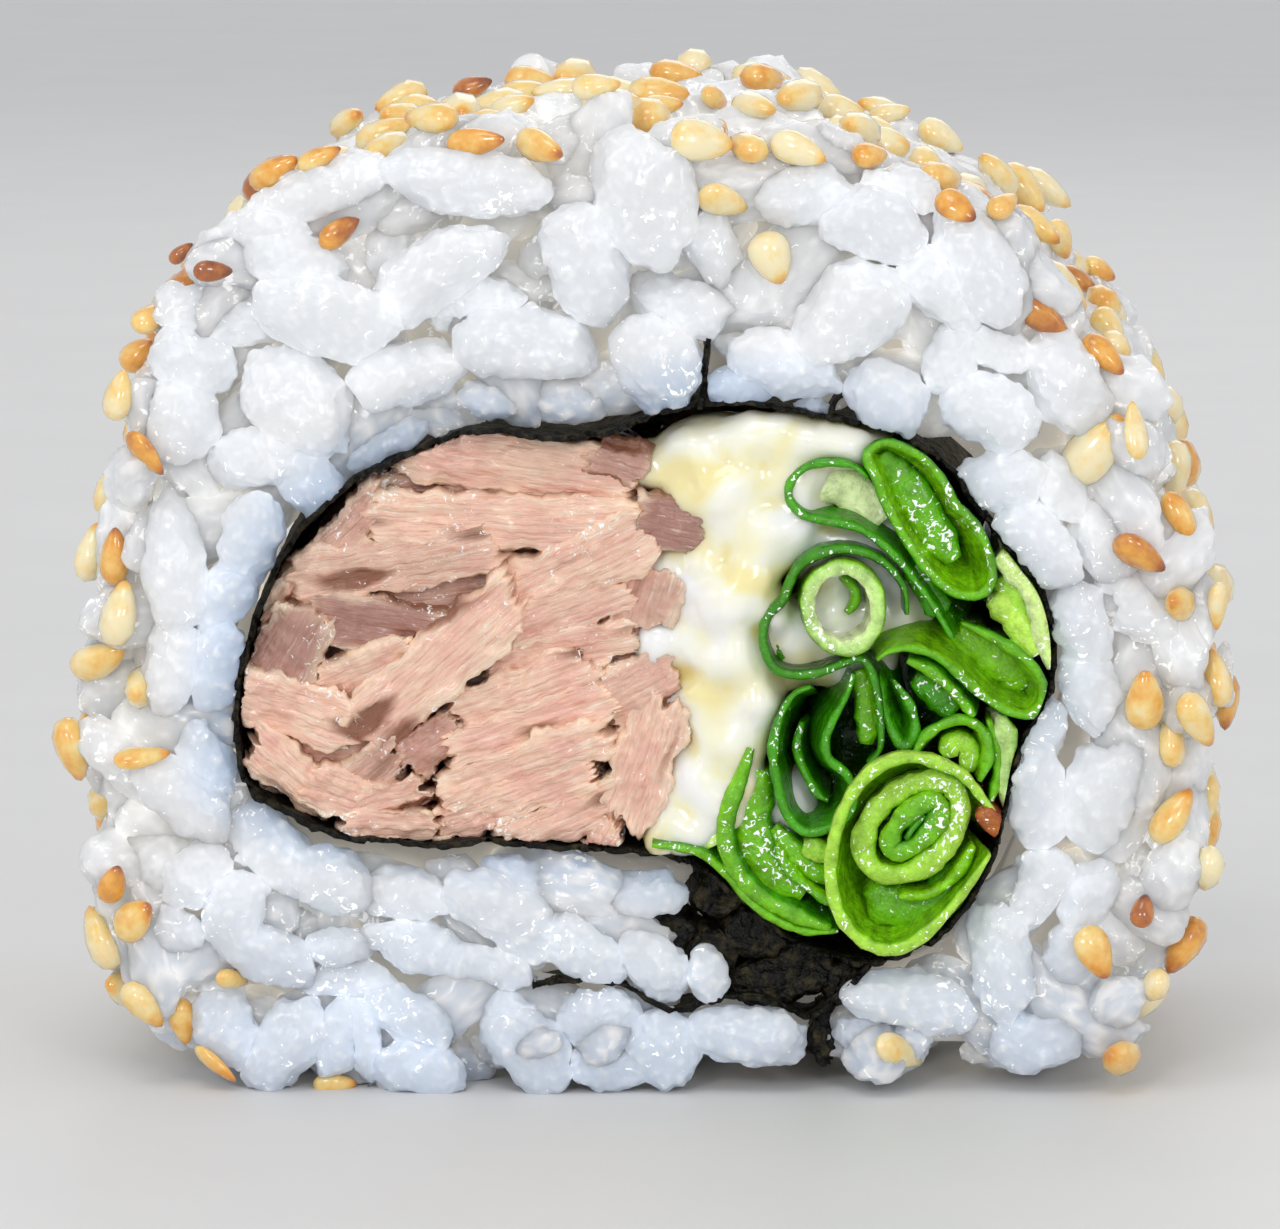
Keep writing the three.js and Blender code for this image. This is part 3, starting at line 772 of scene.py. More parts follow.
def sheet_tree():
    """Geometry Nodes: a sheet that follows a path across and runs from front to back."""
    tree = bpy.data.node_groups.new("sheet_on_path", "GeometryNodeTree")
    face = tree.interface
    face.new_socket("Path", in_out="INPUT", socket_type="NodeSocketGeometry")
    for label in ("Steps along", "Steps deep"):
        face.new_socket(label, in_out="INPUT", socket_type="NodeSocketInt")
    for label in ("Front", "Back", "Wrinkle size", "Wrinkle height", "Ragged edge"):
        face.new_socket(label, in_out="INPUT", socket_type="NodeSocketFloat")
    face.new_socket("Finish", in_out="INPUT", socket_type="NodeSocketMaterial")
    face.new_socket("Sheet", in_out="OUTPUT", socket_type="NodeSocketGeometry")
    enter, leave = node(tree, "NodeGroupInput"), node(tree, "NodeGroupOutput")

    def link(start, end):
        tree.links.new(start, end)

    grid = node(tree, "GeometryNodeMeshGrid")
    link(enter.outputs["Steps along"], grid.inputs["Vertices X"])
    link(enter.outputs["Steps deep"], grid.inputs["Vertices Y"])
    spot = node(tree, "ShaderNodeSeparateXYZ")
    link(node(tree, "GeometryNodeInputPosition").outputs[0], spot.inputs[0])
    share_along = reckon(tree, "ADD", spot.outputs[0], 0.5)
    share_deep = reckon(tree, "ADD", spot.outputs[1], 0.5)
    curve = node(tree, "GeometryNodeMeshToCurve")
    link(enter.outputs["Path"], curve.inputs["Mesh"])
    follow = node(tree, "GeometryNodeSampleCurve", mode="FACTOR", use_all_curves=False)
    link(curve.outputs[0], follow.inputs["Curves"])
    link(share_along, follow.inputs["Factor"])
    depth = node(tree, "ShaderNodeMapRange")
    link(share_deep, depth.inputs["Value"])
    link(enter.outputs["Front"], depth.inputs["To Min"])
    link(enter.outputs["Back"], depth.inputs["To Max"])
    deep = node(tree, "ShaderNodeCombineXYZ")
    link(depth.outputs[0], deep.inputs["Y"])
    flat = node(tree, "ShaderNodeVectorMath", operation="ADD")
    link(follow.outputs["Position"], flat.inputs[0])
    link(deep.outputs[0], flat.inputs[1])
    cloud = node(tree, "ShaderNodeTexNoise", in_3=3.0, in_4=0.6)
    link(flat.outputs[0], cloud.inputs["Vector"])
    link(enter.outputs["Wrinkle size"], cloud.inputs["Scale"])
    middle = node(tree, "ShaderNodeVectorMath", operation="SUBTRACT")
    middle.inputs[1].default_value = (0.5, 0.5, 0.5)
    link(cloud.outputs["Color"], middle.inputs[0])
    crumple = node(tree, "ShaderNodeVectorMath", operation="SCALE")
    link(middle.outputs[0], crumple.inputs[0])
    link(enter.outputs["Wrinkle height"], crumple.inputs["Scale"])
    nick = node(tree, "ShaderNodeTexNoise", in_2=1500.0, in_3=2.0)
    link(flat.outputs[0], nick.inputs["Vector"])
    at_front = reckon(tree, "POWER", reckon(tree, "SUBTRACT", 1.0, share_deep), 12.0)
    ragged = reckon(tree, "MULTIPLY", reckon(tree, "SUBTRACT", nick.outputs["Fac"], 0.5), at_front)
    shift = node(tree, "ShaderNodeCombineXYZ")
    link(reckon(tree, "MULTIPLY", ragged, enter.outputs["Ragged edge"]), shift.inputs["Y"])
    bent = node(tree, "ShaderNodeVectorMath", operation="ADD")
    link(flat.outputs[0], bent.inputs[0])
    link(crumple.outputs[0], bent.inputs[1])
    placed = node(tree, "ShaderNodeVectorMath", operation="ADD")
    link(bent.outputs[0], placed.inputs[0])
    link(shift.outputs[0], placed.inputs[1])
    lay = node(tree, "GeometryNodeSetPosition")
    link(grid.outputs["Mesh"], lay.inputs["Geometry"])
    link(placed.outputs[0], lay.inputs["Position"])
    seam = node(tree, "GeometryNodeMergeByDistance")
    seam.inputs["Distance"].default_value = 0.00002
    link(lay.outputs[0], seam.inputs["Geometry"])
    smooth = node(tree, "GeometryNodeSetShadeSmooth")
    link(seam.outputs[0], smooth.inputs["Geometry"])
    real = node(tree, "GeometryNodeRealizeInstances")
    link(smooth.outputs[0], real.inputs["Geometry"])
    dress = node(tree, "GeometryNodeSetMaterial")
    link(real.outputs[0], dress.inputs["Geometry"])
    link(enter.outputs["Finish"], dress.inputs["Material"])
    link(dress.outputs[0], leave.inputs["Sheet"])
    return tree


def grown(name, start_mesh, tree, values, thickness=None):
    """A plain mesh object from a start mesh, a node tree and its inputs by name."""
    thing = put(name, start_mesh)
    growth = thing.modifiers.new("growth", "NODES")
    growth.node_group = tree
    sockets = {item.name: item.identifier for item in tree.interface.items_tree
               if item.in_out == "INPUT"}
    for label, value in values.items():
        growth[sockets[label]] = value
    if thickness:
        body = thing.modifiers.new("thickness", "SOLIDIFY")
        body.thickness = thickness * mm
        body.offset = 0
    shown = thing.evaluated_get(bpy.context.evaluated_depsgraph_get())
    made = bpy.data.meshes.new_from_object(shown)
    thing.modifiers.clear()
    thing.data = made
    made.name = name
    return thing


seaweed_finish, tree, shader = finish_named("wet_seaweed", Roughness=0.5, Specular_IOR_Level=0.22)
wet_bump(tree, shader, 1.0, 0.35, 2600.0)
where = node(tree, "ShaderNodeTexCoord")
weave = node(tree, "ShaderNodeTexNoise", in_2=1900.0, in_3=3.0)
tree.links.new(where.outputs["Object"], weave.inputs["Vector"])
shade = node(tree, "ShaderNodeValToRGB")
shade.color_ramp.elements[0].position, shade.color_ramp.elements[1].position = 0.48, 0.72
shade.color_ramp.elements[0].color = (0.002, 0.002, 0.001, 1)
shade.color_ramp.elements[1].color = (0.05, 0.04, 0.018, 1)
tree.links.new(weave.outputs["Fac"], shade.inputs["Fac"])
tree.links.new(shade.outputs["Color"], shader.inputs["Base Color"])
tree.links.new(reckon(tree, "MULTIPLY_ADD", weave.outputs["Fac"], 0.4, 0.3),
               shader.inputs["Roughness"])

sheet_on_path = sheet_tree()
seaweed_thickness = 0.2
tucked_folds = [
    ("seaweed_wrap", seaweed_line, True, -11.75, 11.8, 460, 60),
    ("seaweed_end", seaweed_end, False, -11.7, 11.7, 80, 60),
    ("seaweed_fold_1", [(1.9, 27.8), (2.1, 29.2), (2.2, 30.8)], False, -11.6, -7.0, 30, 16),
    ("seaweed_fold_2", [(6.9, 27.4), (7.5, 28.3), (8.4, 28.1)], False, -11.8, -7.0, 30, 16),
]
for name, path, closed, front, back, steps, deep in tucked_folds:
    thing = grown(name, chains([(path, closed)], 0.2), sheet_on_path, {
        "Steps along": steps, "Steps deep": deep, "Front": front * mm, "Back": back * mm,
        "Wrinkle size": 900.0, "Wrinkle height": 0.00055, "Ragged edge": 0.003,
        "Finish": seaweed_finish}, seaweed_thickness)
    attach(thing, "root")
    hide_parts("nori")

# Where the sheet's end is tucked under, wet folds of it fill the seam as one crumpled mass.
crumple = noise_texture("seaweed_crumple", 0.8, 4)
wads = [(2.6, 7.9, 1.9, 1.7), (4.2, 6.4, 2.6, 2.2), (6.2, 5.0, 2.4, 2.2), (7.6, 4.4, 1.7, 1.7),
        (4.6, 4.4, 2.9, 1.9), (6.9, 2.2, 0.9, 2.2), (2.4, 5.6, 2.2, 1.8), (0.9, 6.4, 1.6, 1.5)]
stack = []
for across, up, wide, high in wads:
    form = finest_ball[0] * (wide, 12.6, high) + (across, 0, up)
    form[:, 1] = np.clip(form[:, 1], -11.2, 11.2)
    angle, away, _, off = from_middle(form)
    grow = np.where(off < 0.1, (away - off + 0.1) / np.maximum(away, 0.1), 1)
    form[:, 0] *= grow
    form[:, 2] = np.maximum(widest_at + (form[:, 2] - widest_at) * grow, 0.4)
    stack.append((form, finest_ball[1]))
thing = shaped("seaweed_wad", stack, ((crumple, 0.8),))
finished_in(thing, seaweed_finish)
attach(thing, "root")
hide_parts("nori")


# ---------------------------------------------------------------- tuna
# Cooked tuna broken into flakes and packed against the seaweed. A flake is a bundle of parallel
# muscle fibres: long splits run down it, its ends are torn, and it lies like a shingle on the next.
# Each flake: picture point, length and width, turn, lift, and how brown it is.
flakes = [
    (480, 500, 9.0, 2.6, 5, -0.7, 0.5), (420, 600, 7.0, 3.0, 8, -0.8, 0.6),
    (560, 700, 6.0, 4.0, 20, -0.7, 0.5), (330, 760, 6.0, 3.0, 0, -0.7, 0.5),
    (620, 640, 4.0, 3.4, 10, -0.6, 0.6), (300, 610, 4.0, 3.0, 50, -0.5, 0.4),
    (515, 465, 10.2, 2.5, -8, 0.1, 0.1), (618, 462, 2.4, 1.8, -15, 0.4, 0.8),
    (500, 523, 11.2, 2.2, -2, 0.5, 0.0), (350, 548, 4.4, 1.6, 30, -0.3, 0.8),
    (345, 535, 4.6, 1.6, 46, 0.05, 0.4), (392, 565, 8.8, 2.3, 12, 0.3, 0.25),
    (378, 626, 6.0, 2.2, -10, 0.15, 1.0),
    (288, 650, 3.9, 2.9, 60, 0.15, 0.9), (365, 672, 4.4, 1.8, 25, 0.2, 0.2),
    (300, 712, 5.4, 2.3, -18, 0.5, 0.0), (580, 568, 6.8, 2.7, 28, 0.4, 0.05),
    (560, 612, 6.0, 1.9, 22, 0.35, 0.2), (560, 650, 6.8, 1.6, 10, 0.2, 0.15),
    (435, 668, 9.2, 2.7, 42, 0.7, 0.0), (648, 600, 2.6, 2.6, 70, 0.4, 0.5),
    (285, 770, 3.6, 2.1, -40, 0.3, 0.05), (335, 795, 2.8, 1.9, -20, 0.35, 0.1),
    (372, 772, 2.8, 2.0, 40, 0.0, 0.5), (392, 800, 3.2, 1.5, 15, 0.2, 0.2),
    (390, 830, 4.2, 1.6, 0, 0.35, 0.1), (640, 690, 3.6, 2.6, 30, 0.5, 0.3),
    (522, 690, 6.4, 1.9, 22, 0.45, 0.05), (530, 726, 7.6, 1.8, 20, 0.55, 0.0),
    (522, 765, 7.6, 1.8, 22, 0.6, 0.05), (512, 800, 7.2, 1.7, 22, 0.5, 0.0),
    (560, 820, 5.6, 2.0, 25, 0.4, 0.1), (644, 762, 5.6, 2.5, 72, 0.75, 0.05),
    (597, 852, 2.8, 1.5, 62, 0.5, 0.1), (672, 527, 3.0, 2.4, -10, 0.75, 1.0),
    (432, 745, 3.0, 2.0, 35, -0.1, 0.6),
]


def woven(place, seed):
    """Smooth noise between -1 and 1 at a point given in millimetres."""
    return noise.noise(Vector((place[0] + 7.3 * seed, place[1] - 3.1 * seed, seed)))


def flake_solid(length, width, seed):
    """A torn bundle of fibres: points, faces, the marks of each point, and fibre coordinates."""
    rows, front, back = 56, 36, 6
    skews = [0.9 * width * woven((side * 3.1, 0.6), seed + 11) for side in (-1, 1)]
    points, crack_shades, fibres, rims, along = [], [], [], [], []
    for i in range(rows + 1):
        s = 2 * i / rows - 1
        s = math.copysign(1 - (1 - abs(s)) ** 1.2, s)
        near_end = max(0.0, abs(s) - 0.55) / 0.45
        drop = max(0.0, abs(s) - 0.9) / 0.1
        close = 1 - 0.22 * near_end**2
        for k in range(front + back):
            if k < front:
                v = 2 * k / (front - 1) - 1
                crown = 0.06 * width * (1 - v * v) - 0.5 * max(0.0, abs(v) - 0.86)**2 / 0.02
            else:
                v = 1 - 2 * (k - front + 1) / (back + 1)
                crown = -2.0
            x = s * length / 2
            y = v * width / 2 * close
            edge_tear = woven((v * 2.1, 0.7 + s), seed + 9) + 0.6 * woven((v * 6.3, s), seed + 10)
            tear = (edge_tear * 0.6 + skews[s > 0] * v * 0.5) * near_end
            side_tear = (0.4 * woven((x * 0.9, v), seed + 13)
                         + 0.14 * woven((x * 3.7, v), seed + 14)) * abs(v)**3
            thread = woven((x * 0.16, y * 2.2), seed)
            fine = woven((x * 0.7, y * 6.5), seed + 3)
            split = max(0.0, woven((x * 0.2, y * 1.0), seed + 5) - 0.32) * 2.2
            lump = woven((x * 0.35, y * 0.5), seed + 7)
            rise = crown
            if k < front:
                rise += 0.07 * thread + 0.04 * fine - 0.45 * split + 0.28 * lump - 1.3 * drop**2
            points.append((x + tear * (1 if s > 0 else -1), y + side_tear, rise))
            edge = max(0.0, abs(v) - 0.93) / 0.07 if k < front else 1.0
            # painted shade: the slits, the flake's side edges and its torn ends are marked dark
            crack_shades.append(min(1.0, 2.2 * split + 0.9 * edge**2 + 0.9 * drop**2))
            fibres.append(0.5 + 0.5 * thread + 0.4 * fine)
            rims.append(min(1.0, max(0.0, abs(v) - 0.62 + 0.4 * lump) * 2.2 + 0.7 * near_end**2))
            along.append((x * mm * 100, y * mm * 100))
    faces, ring = [], front + back
    for i in range(rows):
        for k in range(ring):
            a, b = i * ring + k, i * ring + (k + 1) % ring
            faces.append((a, b, b + ring, a + ring))
    faces.append(tuple(range(ring))[::-1])
    faces.append(tuple(rows * ring + k for k in range(ring)))
    return np.array(points), faces, {"crack": crack_shades, "fibre": fibres, "rim": rims}, along


def keep_in_wrap(points, gap):
    """Filling stays inside the seaweed."""
    angle, away, _, _ = from_middle(points)
    most = np.interp(angle, *inner_table, period=tau) - gap
    shrink = np.where(away > most, most / np.maximum(away, 0.1), 1)
    points[:, 0] *= shrink
    points[:, 2] = widest_at + (points[:, 2] - widest_at) * shrink
    return points


flesh_finish, tree, shader = finish_named(
    "cooked_tuna", Roughness=0.5, Subsurface_Weight=0.35, Subsurface_Scale=0.0009,
    Subsurface_Radius=(1.0, 0.5, 0.35), Coat_Weight=0.45, Coat_Roughness=0.14)
shader.subsurface_method = "BURLEY"
where = node(tree, "ShaderNodeUVMap", uv_map="fibres")
stretch = node(tree, "ShaderNodeMapping")
stretch.inputs["Scale"].default_value = (5.0, 58.0, 1.0)
hair = node(tree, "ShaderNodeTexNoise", in_2=1.0, in_3=4.0, in_4=0.6)
tree.links.new(where.outputs[0], stretch.inputs["Vector"])
tree.links.new(stretch.outputs[0], hair.inputs["Vector"])
cloud = node(tree, "ShaderNodeTexNoise", in_2=450.0, in_3=3.0, in_4=0.6)
tree.links.new(node(tree, "ShaderNodeTexCoord").outputs["Object"], cloud.inputs["Vector"])
pink, beige, cream = (0.9, 0.5, 0.4, 1), (0.97, 0.67, 0.5, 1), (1.0, 0.84, 0.62, 1)
brown, shadow, fleck = (0.42, 0.21, 0.17, 1), (0.24, 0.08, 0.035, 1), (1.0, 0.93, 0.86, 1)
mottled = kept_in_unit(tree, cloud.outputs["Fac"], 3.2, -1.1)
base = blended(tree, pink, beige, mottled)
line = kept_in_unit(tree, hair.outputs["Fac"], -6.0, 2.85)
base = blended(tree, base, (0.66, 0.25, 0.16, 1), reckon(tree, "MULTIPLY", line, 0.6))
streak = kept_in_unit(tree, hair.outputs["Fac"], 5.0, -2.5)
streak = reckon(tree, "MULTIPLY", streak, attribute(tree, "fibre"))
base = blended(tree, base, cream, reckon(tree, "MULTIPLY", streak, 0.9))
base = blended(tree, base, brown, reckon(tree, "MULTIPLY", attribute(tree, "browned"), 0.95))
base = blended(tree, base, cream, reckon(tree, "MULTIPLY", attribute(tree, "rim"), 0.65))
bright = kept_in_unit(tree, hair.outputs["Fac"], 9.0, -5.2)
base = blended(tree, base, fleck, reckon(tree, "MULTIPLY", bright, 0.45))
# painted shade: slits, side edges and torn ends of the flakes darken toward the shadow colour
base = blended(tree, base, shadow, reckon(tree, "MULTIPLY", attribute(tree, "crack"), 0.9))
# painted highlights: white glints in the colour and the emission, most of them on the flake rims
base = glinting(tree, shader, base, 4200.0, 0.085, 0.12, "rim", 0.08)
tree.links.new(base, shader.inputs["Base Color"])
film_bump = wet_bump(tree, shader, 0.5, 0.08, 2600.0)
thread_bump = node(tree, "ShaderNodeBump")
thread_bump.inputs["Strength"].default_value = 0.9
thread_bump.inputs["Distance"].default_value = 0.0003
tree.links.new(hair.outputs["Fac"], thread_bump.inputs["Height"])
tree.links.new(thread_bump.outputs["Normal"], film_bump.inputs["Normal"])
flesh_lumps, flesh_crumbs = noise_texture("flesh_lumps", 1.5), noise_texture("flesh_crumbs", 0.5, 2)


def flesh_piece(name, side):
    """All flakes of one end of the roll as one mesh."""
    points, faces, along, start = [], [], [], 0
    marks = {"crack": [], "fibre": [], "rim": [], "browned": []}
    for index, (across, down, length, width, turn, lift, browned) in enumerate(flakes):
        middle = seen_at(across, down, -11.0 - 0.8 * lift)
        if side > 0:
            middle[1] = -middle[1] - 0.3
        turn = math.radians(turn)
        seed = index + 40 * (side > 0)
        form, quads, seen, runs = flake_solid(length, 1.08 * width, seed)
        lean = 0.1 + 0.16 * woven((index * 1.7, 0.4), 2)
        way = np.array([math.cos(turn), 0.06 * woven((0.3, index * 2.1), 4), math.sin(turn)])
        out = np.array([lean * math.sin(turn) * side, side, -lean * math.cos(turn)])
        laid = keep_in_wrap(form @ frame_at(way, out).T + middle, 0.2)
        points.append(laid)
        faces += [tuple(corner + start for corner in face) for face in quads]
        start += len(laid)
        for label, values in seen.items():
            marks[label] += values
        marks["browned"] += [browned] * len(laid)
        along += runs
    thing = shaped(name, [(np.vstack(points), faces)],
                   ((flesh_lumps, 0.4), (flesh_crumbs, 0.36)))
    for label, values in marks.items():
        mark(thing.data, label, values)
    spread_out = thing.data.uv_layers.new(name="fibres")
    corners = np.empty(len(thing.data.loops), np.int32)
    thing.data.loops.foreach_get("vertex_index", corners)
    spread_out.data.foreach_set("uv", np.array(along, np.float32)[corners].ravel())
    thing.data.materials.append(flesh_finish)
    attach(thing, "root")
    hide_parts("tuna")
    return thing


flesh_piece("tuna_front", -1)
flesh_piece("tuna_back", 1)

bed = [(np.array([-8.0, 0, 18.5]), (7.4, 11.0, 7.4)), (np.array([-11.5, 0, 15.5]), (4.6, 11.0, 4.6)),
       (np.array([-3.6, 0, 20.5]), (3.8, 11.0, 5.4)), (np.array([-4.0, 0, 14.2]), (3.8, 11.0, 4.0))]
stack = []
for middle, reach in bed:
    form = np.sign(fine_ball[0]) * np.abs(fine_ball[0]) ** 0.8 * reach + middle
    form[:, 1] = np.clip(form[:, 1], -9.9, 9.9)
    stack.append((keep_in_wrap(form, 0.6), fine_ball[1]))
thing = shaped("tuna_bed", stack, ((flesh_lumps, 0.9),), 0.4, 2)
# painted shade: the bed behind the flakes takes a share of the shadow colour
for label, value in (("crack", 0.35), ("fibre", 0.3), ("rim", 0.0), ("browned", 0.9)):
    mark(thing.data, label, np.full(len(thing.data.vertices), value))
finished_in(thing, flesh_finish)
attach(thing, "root")
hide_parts("tuna")


# ---------------------------------------------------------------- mayonnaise
# A thick glossy sauce spooned between the tuna and the onion, dragged by the knife: broad soft
# swells with hollows, which also fills the gaps between the first onion rings.
# Each swell: picture point, half width and half height, and how far it stands out.
swells = [
    (715, 452, 2.6, 1.5, -0.2), (760, 442, 3.2, 1.3, 0.1), (830, 440, 2.6, 1.1, 0.2),
    (735, 485, 2.8, 1.8, 0.2), (790, 472, 1.8, 1.5, 0.0), (706, 500, 1.4, 1.6, -0.6),
    (760, 525, 2.2, 1.9, 0.45), (722, 565, 1.9, 1.9, -0.2), (726, 602, 2.0, 1.6, 0.5),
    (745, 570, 1.2, 2.2, 0.3), (700, 640, 1.6, 1.8, -0.6), (732, 655, 1.7, 1.7, 0.35),
    (715, 700, 1.9, 1.6, -0.1), (755, 700, 1.1, 1.5, 0.1), (728, 735, 1.6, 2.0, 0.3),
    (708, 785, 1.7, 1.9, 0.0), (690, 822, 1.6, 1.3, -0.2), (722, 795, 1.4, 1.6, 0.2),
    (668, 845, 1.0, 0.8, -0.4), (852, 446, 1.2, 0.8, 0.0), (800, 505, 1.3, 1.5, -0.3),
    (850, 540, 3.2, 2.2, -1.2), (890, 610, 2.0, 1.6, -1.6), (845, 655, 2.2, 1.6, -1.3),
    (800, 640, 1.6, 2.0, -1.2), (780, 800, 1.6, 1.8, -1.4), (640, 465, 1.8, 1.1, -0.9),
    (672, 575, 1.5, 1.7, -1.1), (668, 640, 1.4, 1.6, -1.1), (674, 715, 1.4, 2.0, -1.1),
    (672, 785, 1.3, 1.6, -1.0), (770, 610, 0.9, 1.2, -0.1), (748, 780, 0.8, 1.4, 0.0),
    (834, 604, 1.3, 1.2, -1.5),
]
sauce_finish, tree, shader = finish_named(
    "mayonnaise", Roughness=0.2, Subsurface_Weight=0.6, Subsurface_Scale=0.001,
    Subsurface_Radius=(1.0, 0.9, 0.55), Coat_Weight=0.6, Coat_Roughness=0.06)
wet_bump(tree, shader, 0.18, 0.15, 420.0)
cloud = node(tree, "ShaderNodeTexNoise", in_2=210.0, in_3=1.0, in_8=0.9)
tree.links.new(node(tree, "ShaderNodeTexCoord").outputs["Object"], cloud.inputs["Vector"])
cream, butter, froth = (1.0, 0.96, 0.79, 1), (0.93, 0.76, 0.27, 1), (1.0, 0.985, 0.9, 1)
yolky = kept_in_unit(tree, cloud.outputs["Fac"], -7.0, 3.35)
# random yellow patches, and painted shade: hollows and the sauce further back from the cut face turn
# buttery yellow
sunk = reckon(tree, "MAXIMUM", reckon(tree, "MULTIPLY", yolky, 0.7), attribute(tree, "hollow"))
base = blended(tree, cream, butter, sunk)
pale = kept_in_unit(tree, cloud.outputs["Fac"], 8.0, -4.1)
base = blended(tree, base, froth, pale)
tree.links.new(base, shader.inputs["Base Color"])

swirl = noise_texture("sauce_swirl", 2.6, 1)
ripple = noise_texture("sauce_ripple", 0.9, 1)
stack = []
for across, down, wide, high, lift in swells:
    for side in (-1, 1):
        middle = seen_at(across, down, -10.4 - 0.8 * lift)
        middle[1] *= -side
        form = fine_ball[0] * (wide, 1.9, high) + middle
        stack.append((keep_in_wrap(form, 0.15), fine_ball[1]))
body = fine_ball[0] * (3.6, 11.0, 8.0) + (3.2, 0, 18.2)
body[:, 1] = np.clip(body[:, 1], -9.8, 9.8)
stack.append((keep_in_wrap(body, 0.5), fine_ball[1]))
thing = shaped("mayonnaise_sauce", stack, ((swirl, 0.9), (ripple, 0.16)), 0.22, 16)
points = points_of(thing.data)
dent = creases(thing, 60)
# painted shade: deeper in hollows and further back from the cut face, the sauce is marked yellower
mark(thing.data, "hollow", np.clip(dent / 0.22 + (11.8 - np.abs(points[:, 1])) / 2.5, 0, 0.9))
finished_in(thing, sauce_finish)
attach(thing, "root")
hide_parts("mayonnaise")


